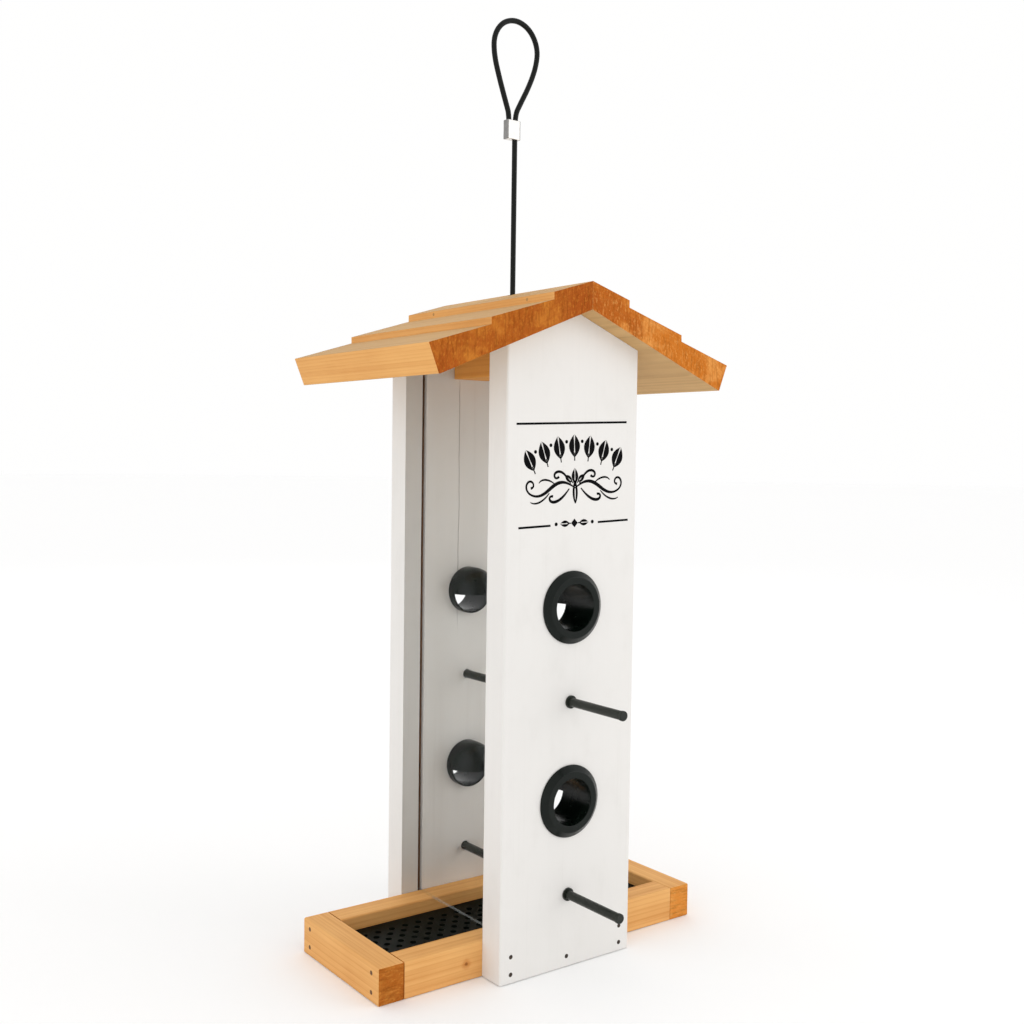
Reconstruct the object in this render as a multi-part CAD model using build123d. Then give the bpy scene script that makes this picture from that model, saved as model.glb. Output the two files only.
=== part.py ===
from build123d import *
import os
from math import cos, radians, sin, tan

# Hanging wooden bird feeder: a narrow hopper of two painted boards and two clear windows,
# a tray with a perforated floor, four seed ports with perches, and a shingled roof that
# lifts along the hanging cable.
#
# Millimetres. X runs along the tray, Y from front to back, Z up. The origin is the centre
# of the flat underside, so the front board faces -Y.

# ---- Painted gable boards -------------------------------------------------------------
BOARD_WIDTH = 88.9
BOARD_THICKNESS = 16.0
FEEDER_DEPTH = 114.3          # outer face to outer face of the two boards
EAVE_HEIGHT = 333.5           # where a board's sloping top starts
ROOF_PITCH = 22.0             # degrees, of the gables and of the roof's underside
BOARD_EDGE_ROUND = 1.2

# ---- Windows and their kerfs ----------------------------------------------------------
WINDOW_THICKNESS = 2.4
WINDOW_INSET = 12.6           # from a board's edge to the middle of the window
WINDOW_ROOF_GAP = 2.0
KERF_DEPTH = 5.0
KERF_SIDE_CLEARANCE = 0.3
KERF_END_CLEARANCE = 0.4

# ---- Tray -----------------------------------------------------------------------------
TRAY_LENGTH = 214.6
TRAY_HEIGHT = 19.0
RAIL_THICKNESS = 15.0
TRAY_END_THICKNESS = 15.0
TRAY_EDGE_ROUND = 1.0

# ---- Perforated floor sheet -----------------------------------------------------------
FLOOR_THICKNESS = 2.0
FLOOR_DROP = 8.0              # from the tray's top down to the sheet's upper face
FLOOR_GROOVE_DEPTH = 4.0
FLOOR_GROOVE_CLEARANCE = 0.2
DRAIN_HOLE_DIAMETER = 3.7
DRAIN_PITCH_X = 8.7
DRAIN_PITCH_Y = 5.65          # between rows, each shifted half a pitch along X
DRAIN_BORDER = 2.0            # plain sheet left inside the tray's walls

# ---- Seed ports -----------------------------------------------------------------------
PORT_HEIGHTS = {"upper": 195.0, "lower": 90.5}
PORT_BORE = 25.4
PORT_TUBE_WALL = 1.0
PORT_FLANGE_DIAMETER = 39.2
PORT_FLANGE_THICKNESS = 3.3
PORT_BEVEL_WIDTH = 3.2
PORT_BEVEL_DEPTH = 2.5
PORT_MOUTH_CHAMFER = 0.5
PORT_TUBE_PROUD = 5.0         # how far the tube stands inside the hopper
PORT_HOOD_DROP = 1.5          # how far the hood reaches below the port's middle
PORT_HOLE_CLEARANCE = 0.1

# ---- Perches --------------------------------------------------------------------------
PERCH_DROP = 50.8             # below the middle of the port above it
PERCH_DIAMETER = 4.8
PERCH_TIP_FLARE = 0.5         # how much wider than the rod its tips are
PERCH_TIP_LENGTH = 1.8
PERCH_TIP_ROUND = 0.6
PERCH_PROJECTION = 43.0       # in front of each board
PERCH_HOLE_CLEARANCE = 0.7    # on the diameter
PERCH_COLLAR_WIDTH = 1.1
PERCH_COLLAR_THICKNESS = 1.0

# ---- Roof -----------------------------------------------------------------------------
ROOF_STOCK_THICKNESS = 16.0
ROOF_OVERHANG = 13.2          # beyond each board, front and back
ROOF_REACH = 94.3             # from the ridge to the underside's outer edge, level
LAP_PITCH = 17.0              # degrees, of each shingle course's face
FIRST_LAP_REACH = 25.5        # from the ridge to the first course's edge
SECOND_LAP_REACH = 64.2
ROOF_EDGE_ROUND = 0.8
ROOF_CABLE_CLEARANCE = 2.6    # on the diameter
ROOF_SEAT_GAP = 0.0           # the roof rests on the gables

# ---- Hanger ---------------------------------------------------------------------------
CROSSBAR_WIDTH = 23.4
CROSSBAR_HEIGHT = 25.4
CROSSBAR_ROOF_GAP = 1.7       # below the roof, at the crossbar's upper edges
CROSSBAR_CABLE_CLEARANCE = 0.6
CABLE_DIAMETER = 3.0
CABLE_TAIL = 2.0              # below the stop ferrule
STRAND_GAP = 1.0              # between the two strands that the loop's ferrule holds
STOP_WASHER_DIAMETER = 14.0
STOP_WASHER_THICKNESS = 1.0
STOP_FERRULE_WALL = 1.8
STOP_FERRULE_LENGTH = 10.0
LOOP_FERRULE_SIDE_WALL = 1.1
LOOP_FERRULE_FACE_WALL = 0.7
LOOP_FERRULE_LENGTH = 10.5
FERRULE_ROUND = 0.5
ROOF_LIFT = 85.8              # from the closed roof's ridge up to the loop's ferrule

# The loop's corners in the plane of the front, as X and the height above the top of the
# loop's ferrule, from the strand that comes up through the roof and round to the other one.
LOOP_CORNERS = [
    (0.0, 3.4),
    (3.2, 9.6),
    (9.8, 21.6),
    (14.3, 33.0),
    (15.4, 43.3),
    (10.2, 52.3),
    (0.7, 56.1),
    (-9.2, 53.1),
    (-15.1, 44.6),
    (-14.9, 34.0),
    (-11.0, 21.6),
    (-6.2, 8.6),
]
SECOND_STRAND_CORNER = 2.8    # height of the last corner above the ferrule's top
SECOND_STRAND_END = 9.0       # how far below the ferrule's top the second strand ends

# ---- Nails ----------------------------------------------------------------------------
NAIL_HEAD_DIAMETER = 2.4
NAIL_HEAD_THICKNESS = 0.8
NAIL_SHANK_DIAMETER = 1.5
NAIL_BITE = 12.0              # into the second piece of wood
BRAD_HEAD_DIAMETER = 1.8
BRAD_SHANK_DIAMETER = 1.2
BRAD_BITE = 16.0
BOARD_NAIL_INSET = 7.0        # of the outer pairs, from the board's edges
BOARD_NAIL_DROP = 5.0         # of each pair's upper nail, below the tray's top
TRAY_NAIL_DROP = 4.4
LOWER_NAIL_DROP = 4.4         # of every lower nail, below the floor sheet
MIDDLE_NAIL_DROP = 3.4        # of a board's middle nail, below the floor sheet
CROSSBAR_BRAD_X = 6.0
ROOF_BRAD_Y = 45.0
ROOF_BRAD_STAGGER = 4.8       # between a brad and the one that meets it from the other side

# ---- Worked out from the sizes above --------------------------------------------------
PITCH_RISE = tan(radians(ROOF_PITCH))
LAP_RISE = tan(radians(LAP_PITCH))
OUTER_Y = FEEDER_DEPTH / 2
INNER_Y = OUTER_Y - BOARD_THICKNESS
PEAK_HEIGHT = EAVE_HEIGHT + BOARD_WIDTH / 2 * PITCH_RISE
ROOF_APEX = PEAK_HEIGHT + ROOF_SEAT_GAP
WINDOW_X = BOARD_WIDTH / 2 - WINDOW_INSET
TRAY_INNER_X = TRAY_LENGTH / 2 - TRAY_END_THICKNESS
TRAY_INNER_Y = INNER_Y - RAIL_THICKNESS
RAIL_MIDDLE_Y = INNER_Y - RAIL_THICKNESS / 2
FLOOR_TOP = TRAY_HEIGHT - FLOOR_DROP
FLOOR_BOTTOM = FLOOR_TOP - FLOOR_THICKNESS
LOWER_NAIL_HEIGHT = FLOOR_BOTTOM - LOWER_NAIL_DROP
PORT_TUBE_DIAMETER = PORT_BORE + 2 * PORT_TUBE_WALL
PERCH_HEIGHTS = {name: height - PERCH_DROP for name, height in PORT_HEIGHTS.items()}
PERCH_LENGTH = FEEDER_DEPTH + 2 * PERCH_PROJECTION
CROSSBAR_TOP = ROOF_APEX - CROSSBAR_WIDTH / 2 * PITCH_RISE - CROSSBAR_ROOF_GAP
CROSSBAR_BOTTOM = CROSSBAR_TOP - CROSSBAR_HEIGHT
CROSSBAR_MIDDLE = CROSSBAR_TOP - CROSSBAR_HEIGHT / 2
STOP_FERRULE_TOP = CROSSBAR_BOTTOM - STOP_WASHER_THICKNESS
STRAND_SPACING = CABLE_DIAMETER + STRAND_GAP
SIDES = {"left": -1, "right": 1}
FACES = {"front": 1, "back": -1}


def block(x_range, y_range, z_range):
    """A box between two values on each axis."""
    sizes = [high - low for low, high in (x_range, y_range, z_range)]
    middles = [(low + high) / 2 for low, high in (x_range, y_range, z_range)]
    return Pos(*middles) * Box(*sizes)


def prism(points, near_y, far_y):
    """A solid with the given outline in X and Z, between two values of Y."""
    outline = Polyline(*points, close=True)
    return extrude(Plane.XZ.offset(-far_y) * make_face(outline), far_y - near_y)


def rod_along_y(diameter, near_y, far_y, x, z):
    """A cylinder parallel to Y."""
    turned = Pos(x, (near_y + far_y) / 2, z) * Rot(90, 0, 0)
    return turned * Cylinder(diameter / 2, far_y - near_y)


def rod_along_z(diameter, bottom, top, x=0.0, y=0.0):
    """A cylinder parallel to Z."""
    return Pos(x, y, (bottom + top) / 2) * Cylinder(diameter / 2, top - bottom)


def fixing(head_diameter, shank_diameter, length, place):
    """A nail at a location whose Z axis points out of the wood, with its head flush."""
    head = rod_along_z(head_diameter, -NAIL_HEAD_THICKNESS, 0)
    return place * (head + rod_along_z(shank_diameter, -length, -NAIL_HEAD_THICKNESS))


def nail(through, place):
    """A tray nail that passes through one piece of wood of the given thickness."""
    return fixing(NAIL_HEAD_DIAMETER, NAIL_SHANK_DIAMETER, through + NAIL_BITE, place)


def brad(through, place):
    """A slimmer nail, whose head hardly shows."""
    return fixing(BRAD_HEAD_DIAMETER, BRAD_SHANK_DIAMETER, through + BRAD_BITE, place)


def cut(body, tools):
    """The body with every tool taken out of it."""
    for tool in tools:
        body = body - tool
    return body


# ---- Nails, each group where it holds -------------------------------------------------
def board_nails(face):
    """The nails that hold one gable board to its tray rail: two outer pairs and one."""
    pair_x = BOARD_WIDTH / 2 - BOARD_NAIL_INSET
    spots = [(x, z) for x in (-pair_x, pair_x)
             for z in (TRAY_HEIGHT - BOARD_NAIL_DROP, LOWER_NAIL_HEIGHT)]
    spots.append((0.0, FLOOR_BOTTOM - MIDDLE_NAIL_DROP))
    outward = Rot(90 * face, 0, 0)
    return [nail(BOARD_THICKNESS, Pos(x, -face * OUTER_Y, z) * outward) for x, z in spots]


def tray_end_nails(side):
    """The nails through one tray end into the ends of both rails."""
    outward = Rot(0, 90 * side, 0)
    return [nail(TRAY_END_THICKNESS, Pos(side * TRAY_LENGTH / 2, y, z) * outward)
            for y in (-RAIL_MIDDLE_Y, RAIL_MIDDLE_Y)
            for z in (TRAY_HEIGHT - TRAY_NAIL_DROP, LOWER_NAIL_HEIGHT)]


def crossbar_brads():
    """Two brads through each board into the end grain of the hanger's crossbar."""
    return [brad(BOARD_THICKNESS, Pos(x, -face * OUTER_Y, CROSSBAR_MIDDLE) * Rot(90 * face, 0, 0))
            for face in FACES.values() for x in (-CROSSBAR_BRAD_X, CROSSBAR_BRAD_X)]


def roof_brads():
    """Level brads through the first course's edge, across the mitre into the other half."""
    height = stock_top(FIRST_LAP_REACH) - BRAD_HEAD_DIAMETER
    brads = []
    for side in SIDES.values():
        for face in FACES.values():
            y = face * ROOF_BRAD_Y + side * ROOF_BRAD_STAGGER / 2
            place = Pos(side * FIRST_LAP_REACH, y, height) * Rot(0, 90 * side, 0)
            brads.append(brad(FIRST_LAP_REACH, place))
    return brads


# ---- Wood -----------------------------------------------------------------------------
def gable_board():
    """The front board with its kerfs, port holes and perch holes."""
    half = BOARD_WIDTH / 2
    outline = [(-half, 0), (half, 0), (half, EAVE_HEIGHT), (0, PEAK_HEIGHT), (-half, EAVE_HEIGHT)]
    board = prism(outline, -OUTER_Y, -INNER_Y)
    board = fillet(board.edges().filter_by(Axis.Z).group_by(Axis.Y)[0], BOARD_EDGE_ROUND)
    kerf_half = WINDOW_THICKNESS / 2 + KERF_SIDE_CLEARANCE
    kerf_y = (-INNER_Y - KERF_DEPTH, -INNER_Y)
    tools = [block((x - kerf_half, x + kerf_half), kerf_y, (0, PEAK_HEIGHT))
             for x in (-WINDOW_X, WINDOW_X)]
    port_hole = PORT_TUBE_DIAMETER + 2 * PORT_HOLE_CLEARANCE
    perch_hole = PERCH_DIAMETER + PERCH_HOLE_CLEARANCE
    tools += [rod_along_y(port_hole, -OUTER_Y, -INNER_Y, 0, z) for z in PORT_HEIGHTS.values()]
    tools += [rod_along_y(perch_hole, -OUTER_Y, -INNER_Y, 0, z) for z in PERCH_HEIGHTS.values()]
    return cut(board, tools)


def window(side):
    """A clear sheet that stands on the rails and slides up out of the boards' kerfs."""
    reach = INNER_Y + KERF_DEPTH - KERF_END_CLEARANCE
    outer_x = WINDOW_X + WINDOW_THICKNESS / 2
    top = ROOF_APEX - outer_x * PITCH_RISE - WINDOW_ROOF_GAP
    x_range = (side * WINDOW_X - WINDOW_THICKNESS / 2, side * WINDOW_X + WINDOW_THICKNESS / 2)
    return block(x_range, (-reach, reach), (TRAY_HEIGHT, top))


def floor_groove():
    """The space that the floor sheet's edges take out of the tray's walls."""
    x = TRAY_INNER_X + FLOOR_GROOVE_DEPTH
    y = TRAY_INNER_Y + FLOOR_GROOVE_DEPTH
    low = FLOOR_BOTTOM - FLOOR_GROOVE_CLEARANCE
    high = FLOOR_TOP + FLOOR_GROOVE_CLEARANCE
    return block((-x, x), (-y, y), (low, high))


def tray_rail():
    """The front rail, between the tray's ends, with its floor groove."""
    rail = block((-TRAY_INNER_X, TRAY_INNER_X), (-INNER_Y, -TRAY_INNER_Y), (0, TRAY_HEIGHT))
    rail = fillet(rail.edges().filter_by(Axis.X).group_by(Axis.Z)[-1], TRAY_EDGE_ROUND)
    return rail - floor_groove()


def tray_end():
    """The right end, which covers both rails' end grain."""
    end = block((TRAY_INNER_X, TRAY_LENGTH / 2), (-INNER_Y, INNER_Y), (0, TRAY_HEIGHT))
    end = fillet(end.edges().filter_by(Axis.Y).group_by(Axis.Z)[-1], TRAY_EDGE_ROUND)
    end = fillet(end.edges().filter_by(Axis.Z).group_by(Axis.X)[-1], TRAY_EDGE_ROUND)
    return end - floor_groove()


def stock_top(x):
    """Height of the roof board's uncut upper face at a distance from the ridge."""
    return ROOF_APEX + ROOF_STOCK_THICKNESS / cos(radians(ROOF_PITCH)) - x * PITCH_RISE


def ferrule_bottom():
    """Height of the loop ferrule's lower end, where the lifted roof's ridge stops."""
    ridge = stock_top(FIRST_LAP_REACH) + FIRST_LAP_REACH * LAP_RISE
    return ridge + ROOF_LIFT


def roof_half():
    """The right half: one thick board with three shingle courses milled in its upper face."""
    edge_x = ROOF_REACH + ROOF_STOCK_THICKNESS * sin(radians(ROOF_PITCH))
    edge_z = ROOF_APEX - ROOF_REACH * PITCH_RISE + ROOF_STOCK_THICKNESS * cos(radians(ROOF_PITCH))
    lap_ends = [(FIRST_LAP_REACH, stock_top(FIRST_LAP_REACH)),
                (SECOND_LAP_REACH, stock_top(SECOND_LAP_REACH)),
                (edge_x, edge_z)]
    outline = [(0, ROOF_APEX)]
    start = 0.0
    for x, z in lap_ends:
        outline += [(start, z + (x - start) * LAP_RISE), (x, z)]
        start = x
    outline.append((ROOF_REACH, ROOF_APEX - ROOF_REACH * PITCH_RISE))
    reach = OUTER_Y + ROOF_OVERHANG
    half = prism(outline, -reach, reach)
    outer = half.edges().filter_by(Axis.Y).group_by(Axis.X)
    half = fillet(outer[-1] + outer[-2], ROOF_EDGE_ROUND)
    hole = CABLE_DIAMETER + ROOF_CABLE_CLEARANCE
    return half - rod_along_z(hole, ROOF_APEX - 1, stock_top(0) + 1)


def crossbar():
    """The bar between the boards that carries the cable."""
    half = CROSSBAR_WIDTH / 2
    bar = block((-half, half), (-INNER_Y, INNER_Y), (CROSSBAR_BOTTOM, CROSSBAR_TOP))
    hole = CABLE_DIAMETER + CROSSBAR_CABLE_CLEARANCE
    return bar - rod_along_z(hole, CROSSBAR_BOTTOM, CROSSBAR_TOP)


# ---- Moulded parts --------------------------------------------------------------------
def floor_sheet():
    """The sheet in the tray's grooves, with staggered round drain holes."""
    slack = FLOOR_GROOVE_CLEARANCE
    x = TRAY_INNER_X + FLOOR_GROOVE_DEPTH - slack
    y = TRAY_INNER_Y + FLOOR_GROOVE_DEPTH - slack
    sheet = block((-x, x), (-y, y), (FLOOR_BOTTOM, FLOOR_TOP))
    open_x = TRAY_INNER_X - DRAIN_BORDER - DRAIN_HOLE_DIAMETER / 2
    open_y = TRAY_INNER_Y - DRAIN_BORDER - DRAIN_HOLE_DIAMETER / 2
    spots = []
    rows = int(open_y // DRAIN_PITCH_Y)
    for row in range(-rows, rows + 1):
        shift = DRAIN_PITCH_X / 2 if row % 2 else 0.0
        across = int((open_x + shift) // DRAIN_PITCH_X)
        spots += [(column * DRAIN_PITCH_X + shift, row * DRAIN_PITCH_Y)
                  for column in range(-across - 1, across + 1)
                  if abs(column * DRAIN_PITCH_X + shift) <= open_x]
    holes = Sketch() + [Pos(*spot) * Circle(DRAIN_HOLE_DIAMETER / 2) for spot in spots]
    return sheet - extrude(Pos(0, 0, FLOOR_BOTTOM) * holes, FLOOR_THICKNESS)


def seed_port(z):
    """A front port: bevelled flange, tube through the board, and a hood over its top half."""
    bore = PORT_BORE / 2
    tube = PORT_TUBE_DIAMETER / 2
    flange = PORT_FLANGE_DIAMETER / 2
    back = -OUTER_Y
    face = back - PORT_FLANGE_THICKNESS
    tube_end = -INNER_Y + PORT_TUBE_PROUD
    section = Polyline(
        (bore, tube_end), (tube, tube_end), (tube, back), (flange, back),
        (flange, face + PORT_BEVEL_DEPTH), (flange - PORT_BEVEL_WIDTH, face),
        (bore + PORT_MOUTH_CHAMFER, face), (bore, face + PORT_MOUTH_CHAMFER), close=True)
    ring = revolve(make_face(section), Axis.Y)
    shell = Sphere(tube) - Sphere(bore)
    keep = block((-tube, tube), (0, tube), (-PORT_HOOD_DROP, tube))
    hood = Pos(0, tube_end, 0) * (shell & keep)
    return Pos(0, 0, z) * (ring + hood)


def perch(z):
    """A rod through both boards, with a slightly larger rounded tip at each end."""
    half = PERCH_LENGTH / 2
    rod = rod_along_y(PERCH_DIAMETER, -half + PERCH_TIP_LENGTH, half - PERCH_TIP_LENGTH, 0, z)
    for face in FACES.values():
        ends = sorted((-face * half, -face * (half - PERCH_TIP_LENGTH)))
        tip = rod_along_y(PERCH_DIAMETER + PERCH_TIP_FLARE, *ends, 0, z)
        outermost = tip.edges().sort_by(Axis.Y)[0 if face > 0 else -1]
        rod = rod + fillet(outermost, PERCH_TIP_ROUND)
    return rod


def perch_collars():
    """A push-on collar against each board, four in all."""
    collars = []
    for z in PERCH_HEIGHTS.values():
        for face in FACES.values():
            ends = sorted((-face * OUTER_Y, -face * (OUTER_Y + PERCH_COLLAR_THICKNESS)))
            ring = rod_along_y(PERCH_DIAMETER + 2 * PERCH_COLLAR_WIDTH, *ends, 0, z)
            collars.append(ring - rod_along_y(PERCH_DIAMETER, *ends, 0, z))
    return collars


# ---- Hanger metalwork -----------------------------------------------------------------
def cable_route():
    """The cable's corners as (x, z): up from its lower end, round the loop and back down."""
    ferrule_top = ferrule_bottom() + LOOP_FERRULE_LENGTH
    route = [(0.0, STOP_FERRULE_TOP - STOP_FERRULE_LENGTH - CABLE_TAIL)]
    route += [(x, ferrule_top + height) for x, height in LOOP_CORNERS]
    route.append((-STRAND_SPACING, ferrule_top + SECOND_STRAND_CORNER))
    route.append((-STRAND_SPACING, ferrule_top - SECOND_STRAND_END))
    return route


def cable():
    """The cable along its route, with each corner rounded as far as its runs allow."""
    points = [Vector(x, 0, z) for x, z in cable_route()]
    radii = []
    for before, corner, after in zip(points, points[1:], points[2:]):
        shorter = min((corner - before).length, (after - corner).length)
        turn = (corner - before).get_angle(after - corner)
        radii.append(0.45 * shorter / tan(radians(turn / 2)))
    path = FilletPolyline(*points, radius=radii)
    section = Plane(points[0], z_dir=(0, 0, 1)) * Circle(CABLE_DIAMETER / 2)
    tube = sweep(section, path)
    expected = section.area * path.length
    print("cable radii", [round(r, 1) for r in radii], "length", round(path.length, 1),
          "volume", round(tube.volume, 1), "against", round(expected, 1))
    return tube


def loop_ferrule():
    """The flat crimp that closes the loop, with a hole for each strand."""
    middle = -STRAND_SPACING / 2
    half_x = (STRAND_SPACING + CABLE_DIAMETER) / 2 + LOOP_FERRULE_SIDE_WALL
    half_y = CABLE_DIAMETER / 2 + LOOP_FERRULE_FACE_WALL
    bottom = ferrule_bottom()
    top = bottom + LOOP_FERRULE_LENGTH
    body = block((middle - half_x, middle + half_x), (-half_y, half_y), (bottom, top))
    body = fillet(body.edges().filter_by(Axis.Z), FERRULE_ROUND)
    strands = [rod_along_z(CABLE_DIAMETER, bottom, top, x) for x in (0, -STRAND_SPACING)]
    return cut(body, strands)


def stop_washer():
    """The washer that spreads the cable's pull under the crossbar."""
    disc = rod_along_z(STOP_WASHER_DIAMETER, STOP_FERRULE_TOP, CROSSBAR_BOTTOM)
    return disc - rod_along_z(CABLE_DIAMETER, STOP_FERRULE_TOP, CROSSBAR_BOTTOM)


def stop_ferrule():
    """The round crimp that keeps the cable's lower end under the crossbar."""
    bottom = STOP_FERRULE_TOP - STOP_FERRULE_LENGTH
    sleeve = rod_along_z(CABLE_DIAMETER + 2 * STOP_FERRULE_WALL, bottom, STOP_FERRULE_TOP)
    sleeve = fillet(sleeve.edges().sort_by(Axis.Z)[0], FERRULE_ROUND)
    return sleeve - rod_along_z(CABLE_DIAMETER, bottom, STOP_FERRULE_TOP)


# ---- Assembly -------------------------------------------------------------------------
def build_nodes():
    """Every node's solid or solids by name."""
    nodes = {"crossbar_brads": crossbar_brads(), "roof_brads": roof_brads()}
    for name, side in SIDES.items():
        nodes[f"tray_end_nails_{name}"] = tray_end_nails(side)
        nodes[f"window_{name}"] = window(side)
    for name, face in FACES.items():
        nodes[f"board_nails_{name}"] = board_nails(face)
    tray_fixings = [n for key, group in nodes.items() if "nails" in key for n in group]

    front = {"board": gable_board(), "rail": tray_rail()}
    for name, face in FACES.items():
        here = front if face > 0 else {key: mirror(body, Plane.XZ) for key, body in front.items()}
        board_fixings = nodes[f"board_nails_{name}"] + nodes["crossbar_brads"]
        nodes[f"{name}_board"] = cut(here["board"], board_fixings)
        nodes[f"tray_rail_{name}"] = cut(here["rail"], tray_fixings)
        for level, z in PORT_HEIGHTS.items():
            port = seed_port(z)
            nodes[f"seed_port_{name}_{level}"] = port if face > 0 else mirror(port, Plane.XZ)

    right = {"end": tray_end(), "roof": roof_half()}
    for name, side in SIDES.items():
        here = right if side > 0 else {key: mirror(body, Plane.YZ) for key, body in right.items()}
        nodes[f"tray_end_{name}"] = cut(here["end"], nodes[f"tray_end_nails_{name}"])
        nodes[f"roof_{name}"] = cut(here["roof"], nodes["roof_brads"])

    nodes["tray_floor"] = floor_sheet()
    for level, z in PERCH_HEIGHTS.items():
        nodes[f"perch_{level}"] = perch(z)
    nodes["perch_collars"] = perch_collars()
    nodes["hanger_crossbar"] = cut(crossbar(), nodes["crossbar_brads"])
    nodes["cable"] = cable()
    nodes["loop_ferrule"] = loop_ferrule()
    nodes["stop_washer"] = stop_washer()
    nodes["stop_ferrule"] = stop_ferrule()
    return nodes


os.makedirs("parts", exist_ok=True)
for node_name, shape in build_nodes().items():
    solids = shape if isinstance(shape, list) else [shape]
    export_step(Compound(children=[s for piece in solids for s in piece.solids()]),
                f"parts/{node_name}.step")
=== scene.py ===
"""Looks of a hanging wooden bird feeder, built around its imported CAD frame.

Everything is in metres and in the frame's own axes: X along the tray, Y from the front board
to the back board, Z up. The feeder stands on Z = 0 and its front board faces -Y.
"""

import logging
import math
from abc import ABC, abstractmethod
from dataclasses import dataclass, field
from enum import Enum
from typing import Iterable, NamedTuple, Sequence

import bmesh
import bpy
from mathutils import Matrix, Quaternion, Vector, noise


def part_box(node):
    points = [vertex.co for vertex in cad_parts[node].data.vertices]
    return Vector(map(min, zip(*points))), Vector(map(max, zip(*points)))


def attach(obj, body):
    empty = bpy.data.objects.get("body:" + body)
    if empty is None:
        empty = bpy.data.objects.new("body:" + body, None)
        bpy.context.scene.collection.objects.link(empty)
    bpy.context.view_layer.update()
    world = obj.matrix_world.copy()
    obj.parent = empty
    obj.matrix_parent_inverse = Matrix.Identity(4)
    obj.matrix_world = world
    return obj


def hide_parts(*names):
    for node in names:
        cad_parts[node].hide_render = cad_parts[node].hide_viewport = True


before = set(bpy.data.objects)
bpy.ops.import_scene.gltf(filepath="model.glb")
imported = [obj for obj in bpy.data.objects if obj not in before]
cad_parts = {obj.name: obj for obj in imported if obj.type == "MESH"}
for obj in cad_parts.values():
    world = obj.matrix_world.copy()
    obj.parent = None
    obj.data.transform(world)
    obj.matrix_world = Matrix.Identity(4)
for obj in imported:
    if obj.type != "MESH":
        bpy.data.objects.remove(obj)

log = logging.getLogger("feeder")
MM = 0.001
SAME_PLACE = 0.001 * MM
QUARTER_TURN = math.pi / 2
FLAT_ANGLE = math.radians(0.4)
Colour = tuple[float, float, float]
Place = tuple[float, float, float]
Span = tuple[float, float]
Tones = tuple[Colour, Colour]
Spot = tuple[float, float, float, float]  # a centre and a radius


class Body(str, Enum):
    """The moving bodies of the feeder."""

    FEEDER = "feeder"
    ROOF = "roof"


class Grain(Enum):
    """The axis along which a piece of wood's fibres run."""

    X = 0
    Y = 1
    Z = 2

    @property
    def turn(self) -> Place:
        """The rotation that lays this axis along Z, as Euler angles."""
        return ((0.0, QUARTER_TURN, 0.0), (QUARTER_TURN, 0.0, 0.0), (0.0, 0.0, 0.0))[self.value]


class Cut(Enum):
    """Which face of a piece of wood a finish is for."""

    LONG = "long"
    END = "end"


def darker(colour: Colour, share: float) -> Colour:
    """A colour with each part multiplied by a share."""
    return tuple(part * share for part in colour)


def linked(name: str, data: bpy.types.ID) -> bpy.types.Object:
    """Makes an object of some data and links it to the scene.

    Args:
        name: The object's name.
        data: Its mesh, curve, light or camera.

    Returns:
        The object.
    """
    made = bpy.data.objects.new(name, data)
    bpy.context.scene.collection.objects.link(made)
    return made


def smooth_tube(name: str, points: Sequence[Place], radius: float, order: int,
                steps: tuple[int, int]) -> bpy.types.Curve:
    """A round tube along a smooth curve, closed at both ends.

    Args:
        name: The curve's name.
        points: Its control points.
        radius: Half of its thickness.
        order: The curve's order.
        steps: Steps along each stretch, and extra steps in each quarter of the way round.

    Returns:
        The curve.
    """
    data = bpy.data.curves.new(name, "CURVE")
    data.dimensions = "3D"
    data.bevel_depth = radius
    data.resolution_u, data.bevel_resolution = steps
    data.use_fill_caps = True
    spline = data.splines.new("NURBS")
    spline.points.add(len(points) - 1)
    for point, place in zip(spline.points, points):
        point.co = (*place, 1.0)
    spline.order_u = order
    spline.use_endpoint_u = True
    return data


# ---- Shader nodes ---------------------------------------------------------------------------
class Pattern(NamedTuple):
    """A noise pattern: features per metre, finer layers, their strength, and its warping."""

    scale: float
    detail: float = 2.0
    roughness: float = 0.5
    distortion: float = 0.0


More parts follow.
